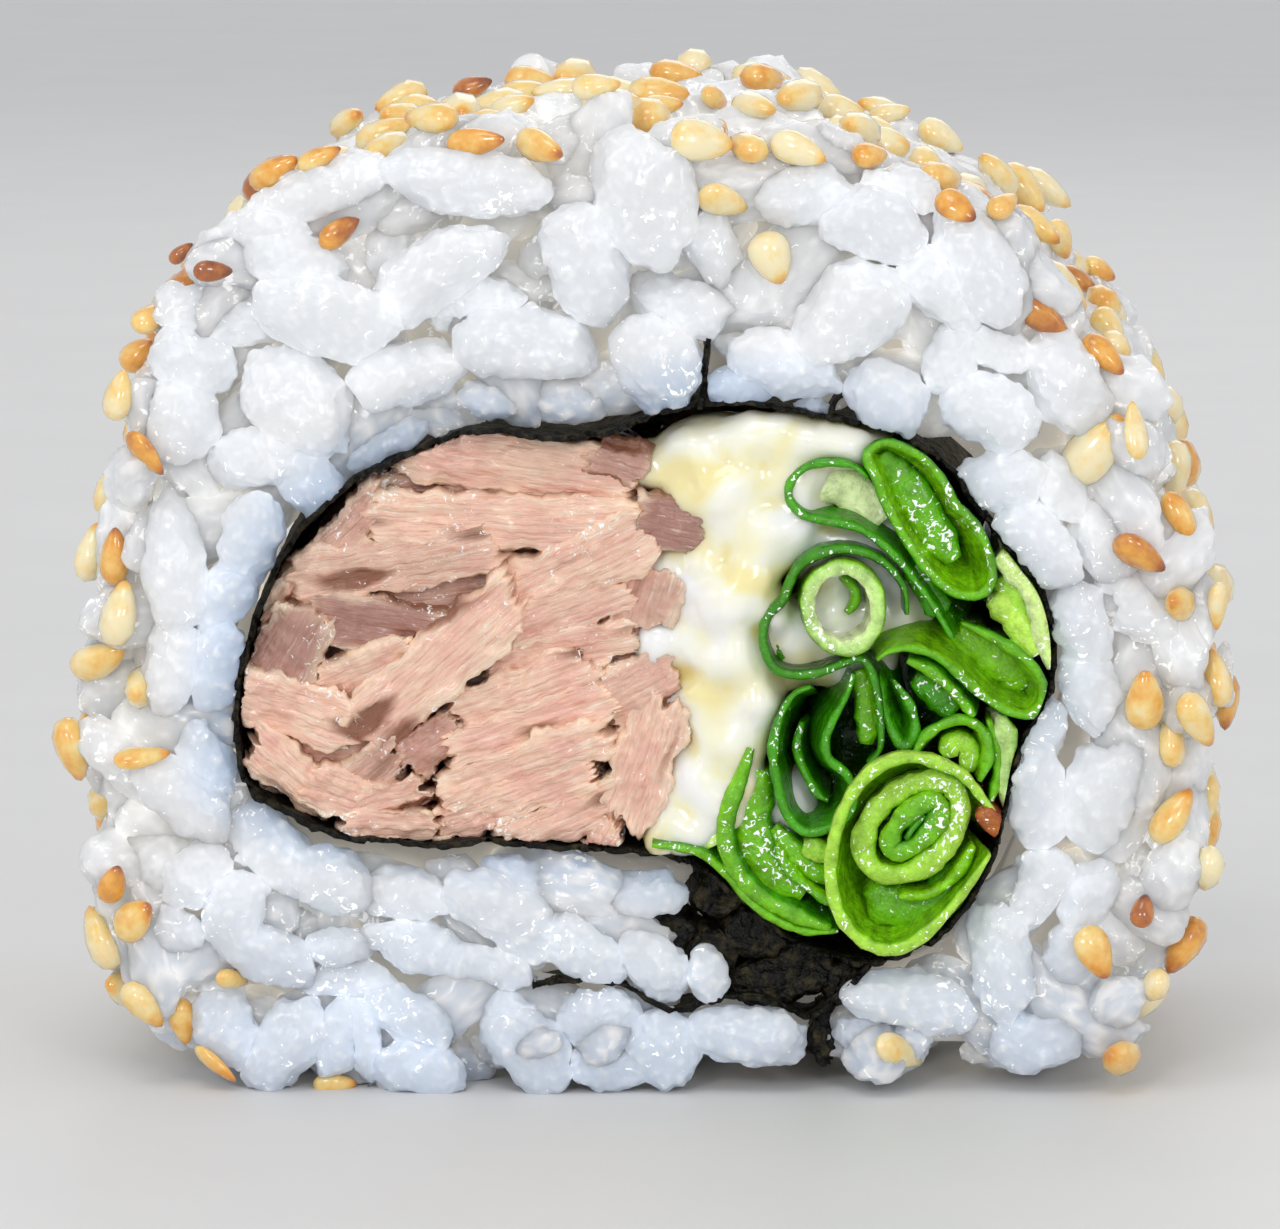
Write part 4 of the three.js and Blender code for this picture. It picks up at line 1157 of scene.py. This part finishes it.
# ---------------------------------------------------------------- spring onion
# Lengths of spring-onion leaf laid along the roll and cut with it, so the knife shows rings, curls
# and folded bands. Each is one thin wall, dark green outside, yellow-green to white inside.
# Each leaf: picture points of its cut edge, whether it closes, wall, how far it stands out, lean
# across and up as it runs back, how fast it narrows, outside colour and inside colour.
deep_green, leaf_green, lime, pale_lime, near_white, dry_tip = (
    (0.008, 0.085, 0.001), (0.04, 0.27, 0.002), (0.2, 0.5, 0.005), (0.44, 0.68, 0.08),
    (0.75, 0.84, 0.45), (0.34, 0.05, 0.01))
leaves = [
    ([(867, 478), (854, 467), (831, 463), (807, 467), (791, 481), (788, 499), (802, 515), (825, 521),
      (852, 527), (873, 537), (894, 553), (915, 576), (933, 599), (946, 621),
      (954, 637)], False, 0.4, 0.55, 0.1, 0.1, 0.1, leaf_green, leaf_green),
    ([(803, 492), (823, 487), (846, 493), (868, 507),
      (884, 524)], False, 1.8, -0.6, 0, 0, 0, near_white, near_white),
    ([(957, 506), (944, 481), (928, 462), (907, 448), (883, 443), (868, 455), (877, 476), (883, 497),
      (896, 523), (912, 548), (932, 573), (954, 591), (978, 594), (991, 581), (989, 555), (979, 531),
      (965, 514)], True, 0.4, 0.7, 0, 0.03, 0.5, leaf_green, lime),
    ([(883, 455), (897, 474), (915, 499), (936, 536),
      (954, 563)], False, 1.4, -0.25, 0, 0, 0, leaf_green, lime),
    ([(908, 614), (907, 594), (899, 576), (881, 559), (852, 549), (823, 551), (800, 564), (788, 583),
      (782, 598), (769, 611), (761, 628), (763, 649), (774, 668), (793, 674), (816, 671), (838, 662),
      (858, 655), (871, 664), (878, 689), (881, 721), (880, 749),
      (868, 763)], False, 0.4, 0.55, 0.02, 0.02, 0.08, leaf_green, deep_green),
    ([(844, 566), (865, 575), (877, 594), (877, 621), (863, 641), (841, 647), (821, 637), (811, 621),
      (808, 595), (821, 574)], True, 0.62, 0.95, -0.14, 0.0, 0.06, lime, near_white),
    ([(844, 581), (857, 592), (858, 607), (849, 618)], False, 0.4, -0.7, -0.1, 0, 0, leaf_green, lime),
    ([(963, 621), (988, 633), (1017, 652), (1038, 677), (1042, 698), (1031, 713), (1007, 709),
      (983, 694), (962, 673), (938, 654), (909, 646), (887, 651),
      (877, 659)], False, 0.4, 0.55, 0, 0.04, 0.3, leaf_green, lime),
    ([(867, 663), (879, 684), (886, 710), (895, 736), (905, 748), (916, 731), (911, 705),
      (896, 681)], False, 0.4, 0.1, 0, 0.05, 0.2, leaf_green, leaf_green),
    ([(907, 662), (932, 673), (957, 697), (973, 718)], False, 0.5, 0.2, 0.1, 0.12, 0, leaf_green, lime),
    ([(957, 636), (983, 655), (1009, 678), (1025, 694)], False, 1.4, -0.9, 0, 0, 0, lime, lime),
    ([(998, 556), (1011, 568), (1028, 585), (1041, 609), (1047, 639),
      (1053, 669)], False, 1.0, 0.25, 0, 0, 0, pale_lime, near_white),
    ([(991, 601), (1005, 612), (1021, 633),
      (1035, 657)], False, 1.2, 0.05, 0, 0, 0, pale_lime, pale_lime),
    ([(1003, 578), (1016, 599), (1029, 621)], False, 1.1, -0.2, 0, 0, 0, lime, pale_lime),
    ([(811, 688), (794, 695), (779, 718), (772, 747), (777, 779), (788, 813), (805, 830), (828, 826),
      (846, 813), (852, 792), (844, 774), (828, 760), (824, 742), (831, 721), (845, 694),
      (852, 673)], False, 0.4, 0.6, 0.03, -0.02, 0.2, leaf_green, leaf_green),
    ([(802, 726), (796, 752), (804, 778), (817, 798),
      (828, 804)], False, 0.4, -0.4, 0, 0, 0.1, leaf_green, leaf_green),
    ([(859, 673), (865, 699), (867, 726), (865, 747)], False, 1.0, -0.3, 0, 0, 0, lime, leaf_green),
    ([(1007, 826), (996, 814), (983, 797), (962, 774), (936, 762), (909, 756), (882, 762), (860, 779),
      (844, 806), (834, 839), (830, 873), (837, 909), (857, 935), (883, 947), (909, 942), (938, 919),
      (965, 886), (988, 851)], False, 0.5, 1.15, 0.03, -0.02, 0.45, pale_lime, lime),
    ([(984, 864), (957, 895), (925, 913), (894, 910),
      (875, 893)], False, 1.9, -0.5, -0.1, 0.1, 0, lime, leaf_green),
    ([(974, 847), (957, 873), (931, 894), (899, 897)], False, 0.5, 0.2, -0.1, 0.1, 0, lime, lime),
    ([(954, 788), (961, 805), (957, 826), (944, 848), (923, 865), (900, 873), (881, 871),
      (869, 858), (867, 839), (876, 816), (894, 797), (916, 784),
      (938, 781)], True, 0.85, 0.4, -0.05, 0.03, 0.1, pale_lime, lime),
    ([(940, 806), (937, 821), (924, 838), (906, 851), (891, 852), (888, 841), (896, 824),
      (913, 808), (931, 801)], True, 0.8, 0.55, -0.04, 0.02, 0.05,
     lime, leaf_green),
    ([(925, 815), (914, 826), (906, 838)], False, 0.3, 0.6, 0, 0, 0, leaf_green, deep_green),
    ([(982, 806), (991, 816), (1001, 828)], False, 0.8, 1.3, 0, 0, 0, dry_tip, dry_tip),
    ([(652, 845), (678, 847), (702, 853), (725, 873), (746, 899), (773, 919), (804, 931),
      (838, 931)], False, 0.4, 0.35, 0.05, 0.2, 0, lime, leaf_green),
    ([(749, 748), (739, 778), (728, 810), (726, 842), (739, 873), (763, 898), (794, 914),
      (831, 927)], False, 0.7, 0.5, 0.22, 0.06, 0, lime, leaf_green),
    ([(761, 773), (753, 810), (756, 847), (774, 878),
      (802, 899)], False, 1.5, -0.1, 0.1, 0, 0, lime, leaf_green),
    ([(733, 781), (715, 802), (708, 827),
      (716, 846)], False, 1.4, -0.05, 0, 0, 0, pale_lime, near_white),
    ([(777, 847), (789, 869), (811, 889), (831, 904)], False, 0.5, 0.3, 0.05, 0.1, 0, leaf_green, lime),
    ([(773, 831), (795, 857), (816, 873), (829, 884)], False, 0.9, 0.0, 0, 0, 0, lime, leaf_green),
    ([(804, 843), (819, 848), (829, 858)], False, 0.8, 0.3, 0, 0, 0, lime, pale_lime),
    ([(1000, 718), (1007, 747), (1010, 778),
      (1010, 810)], False, 0.9, 0.15, -0.1, 0, 0, lime, near_white),
    ([(915, 755), (925, 737), (941, 725), (962, 719), (983, 730), (989, 755),
      (980, 781)], False, 0.45, 0.4, 0, 0.04, 0.16, leaf_green, lime),
    ([(941, 755), (957, 743), (970, 752), (967, 773)], False, 0.9, 0.0, 0, 0, 0, lime, pale_lime),
    ([(988, 721), (996, 747), (997, 778), (992, 802)], False, 0.4, 0.1, -0.05, 0, 0, lime, leaf_green),
    ([(915, 568), (931, 594), (942, 616)], False, 1.2, -0.3, 0, 0, 0, leaf_green, leaf_green),
    ([(767, 631), (774, 649), (788, 660)], False, 0.9, -0.5, 0, 0, 0, leaf_green, deep_green),
    ([(915, 684), (936, 697), (957, 715)], False, 1.2, -0.6, 0, 0, 0, leaf_green, leaf_green),
]


def leaf_solid(path, closed, wall, front, lean, flare, colours, seed):
    """The wall of one leaf from end to end of the roll: points, quads, colours and cut rims."""
    outside, inside = (np.array(colour) for colour in colours)
    ahead = np.roll(path, -1, axis=0) - np.roll(path, 1, axis=0)
    if not closed:
        ahead[0], ahead[-1] = path[1] - path[0], path[-1] - path[-2]
    ahead /= np.linalg.norm(ahead, axis=1)[:, None]
    right = np.stack([ahead[:, 1], -ahead[:, 0]], 1)
    turns = path[:, 0] @ np.roll(path[:, 1], -1) - path[:, 1] @ np.roll(path[:, 0], -1)
    right *= 1 if turns > 0 else -1
    rim = [(1.0, 0.16, 0.0), (0.72, 0.04, 0.6), (0.3, -0.02, 1.0), (-0.3, -0.02, 1.0),
           (-0.72, 0.04, 0.6), (-1.0, 0.16, 0.0)]
    deep = [0.35, 0.7, 1.2, 2.0, 3.2, 5.0, 8.0, 12.0, 16.0, 19.0, 21.0, 22.4]
    section = ([(1.0, d, 0.0, 0) for d in deep[::-1]] + [(a, d, r, 0) for a, d, r in rim]
               + [(-1.0, d, 0.0, 0) for d in deep]
               + [(-a, d, r, 1) for a, d, r in rim])
    ring, count = len(section), len(path)
    points, tints, rims = [], [], []
    for i in range(count):
        wave = woven((path[i, 0] * 0.5, path[i, 1] * 0.5), seed)
        near = front + 0.28 * wave
        ragged = woven((i * 0.45, 3.0), seed + 6)
        narrow = 1.0 if closed else min(1.0, 3.0 * min(i + 0.6, count - 0.4 - i) / count + 0.45)
        for across, deep_by, rim_share, at_back in section:
            depth = (-11.9 - near + deep_by) if not at_back else (11.9 + near * 0.5 - deep_by)
            run = depth + 12.0
            sway = 0.18 * woven((run * 0.25, i * 0.05), seed + 2)
            thin = wall * (1 + 0.18 * wave + 0.3 * ragged) * narrow / 2
            side = path[i] + right[i] * (across * thin + sway)
            shift = min(max(run, 0.0), 7.0)
            funnel = -right[i] * flare * min(max(run, 0.0), 3.5)
            points.append((side[0] + lean[0] * shift + funnel[0], depth,
                           side[1] + lean[1] * shift + funnel[1]))
            vein = 0.5 + 0.5 * woven((path[i, 0] * 3.1, path[i, 1] * 3.1 + run * 0.05), seed + 4)
            face = outside if across > 0 else inside
            skin = face * (0.45 + 1.1 * vein)
            cut = (0.55 * outside + 0.45 * inside) * 1.1 + np.array((0.02, 0.06, 0.0))
            # painted shade: the leaf walls darken the further they run back from the cut face
            depth_shade = np.clip(1.1 - run / 6.0, 0.2, 1.0)
            tints.append(skin * (1 - rim_share) * depth_shade + cut * rim_share)
            rims.append(rim_share)
    faces = []
    for i in range(count if closed else count - 1):
        for k in range(ring):
            a, b = i * ring + k, i * ring + (k + 1) % ring
            c, d = ((i + 1) % count) * ring + (k + 1) % ring, ((i + 1) % count) * ring + k
            faces.append((a, b, c, d))
    if not closed:
        faces.append(tuple(range(ring))[::-1])
        faces.append(tuple((count - 1) * ring + k for k in range(ring)))
    return np.array(points), faces, tints, rims


leaf_finish, tree, shader = finish_named(
    "spring_onion", Roughness=0.32, Specular_IOR_Level=0.35, Subsurface_Weight=0.12,
    Subsurface_Scale=0.0006, Subsurface_Radius=(0.5, 1.0, 0.2), Coat_Weight=0.25,
    Coat_Roughness=0.12)
shader.subsurface_method = "BURLEY"
wet_bump(tree, shader, 1.0, 0.2, 2200.0)
tint = tree.nodes.new("ShaderNodeAttribute")
tint.attribute_name = "tint"
mottle = node(tree, "ShaderNodeTexNoise", in_2=1300.0, in_3=4.0, in_4=0.7)
tree.links.new(node(tree, "ShaderNodeTexCoord").outputs["Object"], mottle.inputs["Vector"])
shade = reckon(tree, "MULTIPLY_ADD", mottle.outputs["Fac"], 1.7, 0.15)
grey = node(tree, "ShaderNodeCombineColor")
for socket in grey.inputs[:3]:
    tree.links.new(shade, socket)
base = blended(tree, tint.outputs["Color"], grey.outputs[0], 1.0, "MULTIPLY")
# painted highlights: white glints in the colour and the emission, most of them on the cut rims
base = glinting(tree, shader, base, 3800.0, 0.05, 0.2, "rim", 0.13)
tree.links.new(base, shader.inputs["Base Color"])


def leaf_piece(name, chosen):
    """These leaves as one mesh, mended so that every face points outwards."""
    points, faces, tints, rims, start = [], [], [], [], 0
    for index in chosen:
        line, closed, wall, lift, across, up, flare, outside, inside = leaves[index]
        on_face = [seen_at(x, y, -12.2)[::2] for x, y in line]
        path = smooth_path(on_face, 0.22, closed)
        form, quads, colours, cut_edge = leaf_solid(path, closed, wall, lift, (across, up), flare,
                                                    (outside, inside), index)
        points.append(keep_in_wrap(form, 0.16))
        faces += [tuple(corner + start for corner in face) for face in quads]
        tints += colours
        rims += cut_edge
        start += len(form)
    thing = put(name, mesh_of(name, np.vstack(points), faces))
    colour = thing.data.color_attributes.new("tint", "FLOAT_COLOR", "POINT")
    flat = np.c_[np.array(tints), np.ones(len(tints))].astype(np.float32)
    colour.data.foreach_set("color", flat.ravel())
    mark(thing.data, "rim", rims)
    mend = bmesh.new()
    mend.from_mesh(thing.data)
    bmesh.ops.recalc_face_normals(mend, faces=mend.faces)
    mend.to_mesh(thing.data)
    mend.free()
    thing.data.shade_smooth()
    thing.data.materials.append(leaf_finish)
    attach(thing, "root")
    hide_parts("spring_onion")
    return thing


leaf_piece("spring_onion_rings", range(0, 17))
leaf_piece("spring_onion_bands", range(17, len(leaves)))

shred = noise_texture("leaf_shreds", 1.1)
stack = []
for middle, reach in (((9.5, 0.8, 14.5), (5.6, 10.4, 7.2)), ((9.8, 0.8, 9.5), (4.4, 10.4, 4.0)),
                      ((9.2, 0.8, 20.5), (4.2, 10.4, 5.4)), ((5.6, 0, 9.4), (2.6, 12.2, 2.6))):
    form = fine_ball[0] * reach + middle
    form[:, 1] = np.clip(form[:, 1], middle[1] - 0.88 * reach[1], middle[1] + 0.88 * reach[1])
    stack.append((keep_in_wrap(form, 0.6), fine_ball[1]))
thing = shaped("spring_onion_bed", stack, ((shred, 1.2),), 0.4, 2)
colour = thing.data.color_attributes.new("tint", "FLOAT_COLOR", "POINT")
places = points_of(thing.data)
low = np.clip((13.0 - places[:, 2]) / 5 - (places[:, 0] - 9) / 9, 0, 1)[:, None]
shades = np.array(deep_green) * 0.7 * (1 - low) + np.array(lime) * 0.6 * low
colour.data.foreach_set("color", np.c_[shades, np.ones(len(shades))].astype(np.float32).ravel())
finished_in(thing, leaf_finish)
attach(thing, "root")
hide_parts("spring_onion")


# The board and the knife press flat whatever stands proudest of the two cut faces.
press_from, press_soft = 12.7, 0.5
visible = ("rice_", "seaweed_", "tuna_", "mayonnaise_", "spring_onion_")
for thing in [thing for thing in bpy.context.scene.objects if thing.name.startswith(visible)]:
    points = points_of(thing.data)
    proud = np.abs(points[:, 1]) - press_from
    pressed = press_from + press_soft * (1 - np.exp(-np.maximum(proud, 0) / press_soft))
    points[:, 1] = np.where(proud > 0, np.sign(points[:, 1]) * pressed, points[:, 1])
    thing.data.vertices.foreach_set("co", (points * mm).astype(np.float32).ravel())
    thing.data.update()


# ---------------------------------------------------------------- sesame
# Toasted sesame seeds, hulled and unhulled, rolled onto the wet rice. A seed is a flattened drop,
# round at one end and pointed at the other; its colour runs from cream through gold to brown.
# The seeds the picture shows: picture point, length and width, turn, and how toasted each one is.
seen_seeds = [
    (772, 258, 2.2, 1.8, -70, 0.1), (478, 142, 2.5, 1.2, 5, 0.55), (545, 145, 2.5, 1.4, 0, 0.35),
    (722, 197, 2.2, 1.5, -35, 0.12), (751, 205, 2.0, 1.2, 80, 0.38), (888, 147, 1.8, 1.7, 0, 0.12),
    (921, 165, 1.8, 1.6, 60, 0.2), (868, 160, 1.6, 1.2, 30, 0.45), (957, 210, 1.9, 1.3, -40, 0.65),
    (1042, 316, 2.8, 1.3, -38, 0.75), (1003, 210, 1.6, 1.1, 60, 0.4), (1020, 192, 2.6, 1.7, -60, 0.3),
    (1097, 447, 3.4, 2.1, 50, 0.08), (1132, 432, 2.4, 1.1, 90, 0.15), (1142, 550, 2.4, 1.7, -35, 0.7),
    (1143, 697, 2.6, 1.7, 95, 0.3), (1193, 720, 2.6, 1.5, -45, 0.25), (1177, 818, 2.6, 1.6, 50, 0.35),
    (1093, 953, 2.3, 1.6, -65, 0.35), (1178, 520, 2.4, 1.2, -60, 0.5), (1212, 605, 2.0, 1.0, -70, 0.15),
    (1130, 405, 2.2, 1.2, -50, 0.6), (1103, 358, 2.2, 1.2, -50, 0.55), (1143, 912, 1.4, 1.0, 80, 0.8),
    (895, 1057, 3.0, 1.4, -5, 0.2), (925, 1058, 1.8, 1.2, 10, 0.35), (337, 230, 2.0, 1.1, 30, 0.7),
    (212, 271, 1.6, 0.9, 0, 0.95), (268, 180, 2.4, 1.4, 38, 0.8), (322, 163, 1.9, 1.1, 18, 0.4),
    (418, 113, 2.2, 1.5, 40, 0.3), (185, 257, 1.2, 0.8, 20, 0.8), (145, 312, 1.9, 1.2, 60, 0.45),
    (134, 354, 1.7, 1.5, 0, 0.5), (124, 396, 2.1, 1.4, 70, 0.15), (150, 450, 2.2, 1.3, -50, 0.6),
    (118, 555, 2.4, 1.3, 80, 0.5), (100, 655, 2.8, 1.7, 55, 0.25), (133, 657, 2.0, 0.8, 90, 0.6),
    (142, 762, 2.4, 1.2, 30, 0.4), (140, 919, 2.2, 1.7, 20, 0.35), (182, 1021, 2.2, 1.2, -70, 0.45),
    (230, 975, 1.6, 0.9, -35, 0.3), (335, 1080, 1.8, 1.0, 0, 0.4), (220, 1060, 2.2, 1.0, -20, 0.45),
    (112, 880, 1.8, 1.2, 80, 0.6), (475, 92, 1.8, 1.2, 0, 0.8), (530, 85, 2.2, 1.5, 0, 0.35),
    (515, 112, 2.0, 1.3, -10, 0.1), (597, 92, 2.0, 1.3, 0, 0.15), (630, 95, 1.4, 1.2, 0, 0.05),
    (600, 125, 2.2, 1.2, 0, 0.4), (662, 112, 1.8, 1.2, 0, 0.35), (700, 142, 2.6, 1.8, -5, 0.08),
    (710, 100, 1.6, 1.0, 0, 0.4), (745, 150, 1.6, 1.2, -30, 0.4), (735, 170, 2.0, 1.0, -10, 0.6),
    (800, 150, 2.4, 1.4, -20, 0.05), (840, 115, 2.0, 1.5, 0, 0.12), (890, 115, 1.8, 1.3, 0, 0.1),
    (938, 140, 2.2, 1.4, -15, 0.12), (1055, 240, 1.8, 1.3, -50, 0.3), (1075, 285, 1.8, 1.2, -60, 0.6),
    (1100, 270, 1.6, 1.3, -50, 0.4), (1105, 330, 1.8, 1.4, -60, 0.2),
]


def seed_tree():
    """Geometry Nodes: a seed drop on every point, with the point's own turn and size."""
    tree = bpy.data.node_groups.new("seeds_on_points", "GeometryNodeTree")
    face = tree.interface
    face.new_socket("Places", in_out="INPUT", socket_type="NodeSocketGeometry")
    for label in ("Sides", "Rings"):
        face.new_socket(label, in_out="INPUT", socket_type="NodeSocketInt")
    for label in ("Taper", "Flatness"):
        face.new_socket(label, in_out="INPUT", socket_type="NodeSocketFloat")
    face.new_socket("Finish", in_out="INPUT", socket_type="NodeSocketMaterial")
    face.new_socket("Seeds", in_out="OUTPUT", socket_type="NodeSocketGeometry")
    enter, leave = node(tree, "NodeGroupInput"), node(tree, "NodeGroupOutput")

    def link(start, end):
        tree.links.new(start, end)

    drop = node(tree, "GeometryNodeMeshUVSphere")
    drop.inputs["Radius"].default_value = 0.5
    link(enter.outputs["Sides"], drop.inputs["Segments"])
    link(enter.outputs["Rings"], drop.inputs["Rings"])
    spot = node(tree, "ShaderNodeSeparateXYZ")
    link(node(tree, "GeometryNodeInputPosition").outputs[0], spot.inputs[0])
    slim = reckon(tree, "SUBTRACT", 0.93, reckon(tree, "MULTIPLY", spot.outputs[2],
                                                enter.outputs["Taper"]))
    shaped = node(tree, "ShaderNodeCombineXYZ")
    link(spot.outputs[2], shaped.inputs[0])
    link(reckon(tree, "MULTIPLY", spot.outputs[0], slim), shaped.inputs[1])
    link(reckon(tree, "MULTIPLY", reckon(tree, "MULTIPLY", spot.outputs[1], slim),
                enter.outputs["Flatness"]), shaped.inputs[2])
    form = node(tree, "GeometryNodeSetPosition")
    link(drop.outputs["Mesh"], form.inputs["Geometry"])
    link(shaped.outputs[0], form.inputs["Position"])
    keep = node(tree, "GeometryNodeStoreNamedAttribute", data_type="FLOAT", domain="POINT")
    keep.inputs["Name"].default_value = "to_tip"
    link(form.outputs[0], keep.inputs["Geometry"])
    link(reckon(tree, "ADD", spot.outputs[0], 0.5), keep.inputs["Value"])
    smooth = node(tree, "GeometryNodeSetShadeSmooth")
    link(keep.outputs[0], smooth.inputs["Geometry"])
    turn = node(tree, "GeometryNodeInputNamedAttribute", data_type="FLOAT_VECTOR")
    turn.inputs["Name"].default_value = "turn"
    size = node(tree, "GeometryNodeInputNamedAttribute", data_type="FLOAT_VECTOR")
    size.inputs["Name"].default_value = "size"
    as_turn = node(tree, "FunctionNodeEulerToRotation")
    link(turn.outputs["Attribute"], as_turn.inputs[0])
    lay = node(tree, "GeometryNodeInstanceOnPoints")
    link(enter.outputs["Places"], lay.inputs["Points"])
    link(smooth.outputs[0], lay.inputs["Instance"])
    link(as_turn.outputs[0], lay.inputs["Rotation"])
    link(size.outputs["Attribute"], lay.inputs["Scale"])
    real = node(tree, "GeometryNodeRealizeInstances")
    link(lay.outputs[0], real.inputs["Geometry"])
    dress = node(tree, "GeometryNodeSetMaterial")
    link(real.outputs[0], dress.inputs["Geometry"])
    link(enter.outputs["Finish"], dress.inputs["Material"])
    link(dress.outputs[0], leave.inputs["Seeds"])
    return tree


seed_finish, tree, shader = finish_named("toasted_sesame", Roughness=0.28, Coat_Weight=1.0,
                                         Coat_Roughness=0.08, Subsurface_Weight=0.3,
                                         Subsurface_Scale=0.0004)
wet_bump(tree, shader, 0.35, 0.08, 2600.0)
toast = node(tree, "ShaderNodeValToRGB")
ramp = toast.color_ramp
for place, colour in ((0.0, (0.96, 0.83, 0.52)), (0.24, (0.94, 0.66, 0.22)), (0.5, (0.85, 0.4, 0.05)),
                      (0.78, (0.5, 0.15, 0.02)), (1.0, (0.2, 0.05, 0.01))):
    stop = ramp.elements.new(place) if 0 < place < 1 else ramp.elements[-int(place)]
    stop.color = (*colour, 1)
cloud = node(tree, "ShaderNodeTexNoise", in_2=900.0, in_3=3.0, in_4=0.6)
tree.links.new(node(tree, "ShaderNodeTexCoord").outputs["Object"], cloud.inputs["Vector"])
level = reckon(tree, "ADD", attribute(tree, "toast"),
               reckon(tree, "MULTIPLY_ADD", cloud.outputs["Fac"], 1.0, -0.56))
tip = reckon(tree, "MULTIPLY", reckon(tree, "POWER", attribute(tree, "to_tip"), 7.0), 0.45)
tree.links.new(reckon(tree, "ADD", level, tip), toast.inputs["Fac"])
tree.links.new(toast.outputs["Color"], shader.inputs["Base Color"])

skins = []
for thing in rice_pieces:
    corners = np.empty(len(thing.data.polygons) * 3, np.int32)
    thing.data.polygons.foreach_get("vertices", corners)
    skins.append((points_of(thing.data), corners.reshape(-1, 3)))
rice_points, rice_faces = joined(skins)
rice_skin = BVHTree.FromPolygons(rice_points.tolist(), rice_faces.tolist())

seeds_laid = []
seed_gap, seed_front, seed_raise = 1.75, 13.2, 0.26


def lay_seed(place, out, along, length, width, toast_level):
    """Notes a seed in the rice skin, unless another is there; on the cut face it lies flatter."""
    place = np.array(place)
    if any(np.linalg.norm(place - other[0]) < seed_gap for other in seeds_laid):
        return
    turned = frame_at(along, out)
    euler = Matrix([list(row) for row in turned]).to_euler()
    size = (length, width, (0.6 if place[1] < -11.8 else 0.8) * width)
    middle = place + turned[:, 2] * seed_raise
    reach = math.sqrt(sum((turned[1, k] * size[k] / 2) ** 2 for k in range(3)))
    middle[1] = max(middle[1], reach - seed_front)
    seeds_laid.append((middle, tuple(euler), size, toast_level))


for across, down, length, width, turn, toast_level in seen_seeds:
    line = sight(across, down)
    hit, out, _, _ = rice_skin.ray_cast(eye, line)
    if hit is None or hit.y > 13:
        near = [rice_skin.find_nearest(eye + line * step) for step in np.arange(285, 325, 0.5)]
        hit, out = min(near, key=lambda found: found[3])[:2]
    turn = math.radians(turn)
    along = eye_turn @ Vector((math.cos(turn), math.sin(turn), 0.0))
    lay_seed(hit, out, along, length, width, toast_level)
shown_count = len(seeds_laid)

for distance, depth in side_spread(2.45, 12000, 11.8):
    (across, up), way = on_side(distance, -4.0)
    if up < 3.0 and abs(across) < 18:
        continue
    start = Vector((across, depth, up))
    hit, out, _, _ = rice_skin.ray_cast(start, Vector((-way[0], 0, -way[1])))
    if hit is None or hit.z < 1.2:
        continue
    turn = draw.uniform(0, tau)
    along = (way[1] * math.cos(turn), math.sin(turn), -way[0] * math.cos(turn))
    outward = np.array(out) + 1.2 * np.array([way[0], 0, way[1]])
    toast_level = float(np.clip(draw.beta(1.1, 3.3), 0.02, 0.9))
    length = draw.uniform(2.3, 2.9)
    lay_seed(hit, outward, along, length, length * draw.uniform(0.6, 0.72), toast_level)


def seed_piece(name, chosen, sides, rings):
    """One mesh of these seeds."""
    places = mesh_of("places", np.array([entry[0] for entry in chosen]), [])
    for label, kind, values in (
            ("turn", "FLOAT_VECTOR", [entry[1] for entry in chosen]),
            ("size", "FLOAT_VECTOR", [[side * mm for side in entry[2]] for entry in chosen]),
            ("toast", "FLOAT", [entry[3] for entry in chosen])):
        made = places.attributes.new(label, kind, "POINT")
        made.data.foreach_set("vector" if kind == "FLOAT_VECTOR" else "value",
                              np.array(values, np.float32).ravel())
    thing = grown(name, places, seeds_on_points, {
        "Sides": sides, "Rings": rings, "Taper": 0.62, "Flatness": 1.0, "Finish": seed_finish})
    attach(thing, "root")
    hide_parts("rice")


seeds_on_points = seed_tree()
seed_piece("sesame_shown", seeds_laid[:shown_count], 14, 10)
seed_piece("sesame_around", seeds_laid[shown_count:], 8, 6)
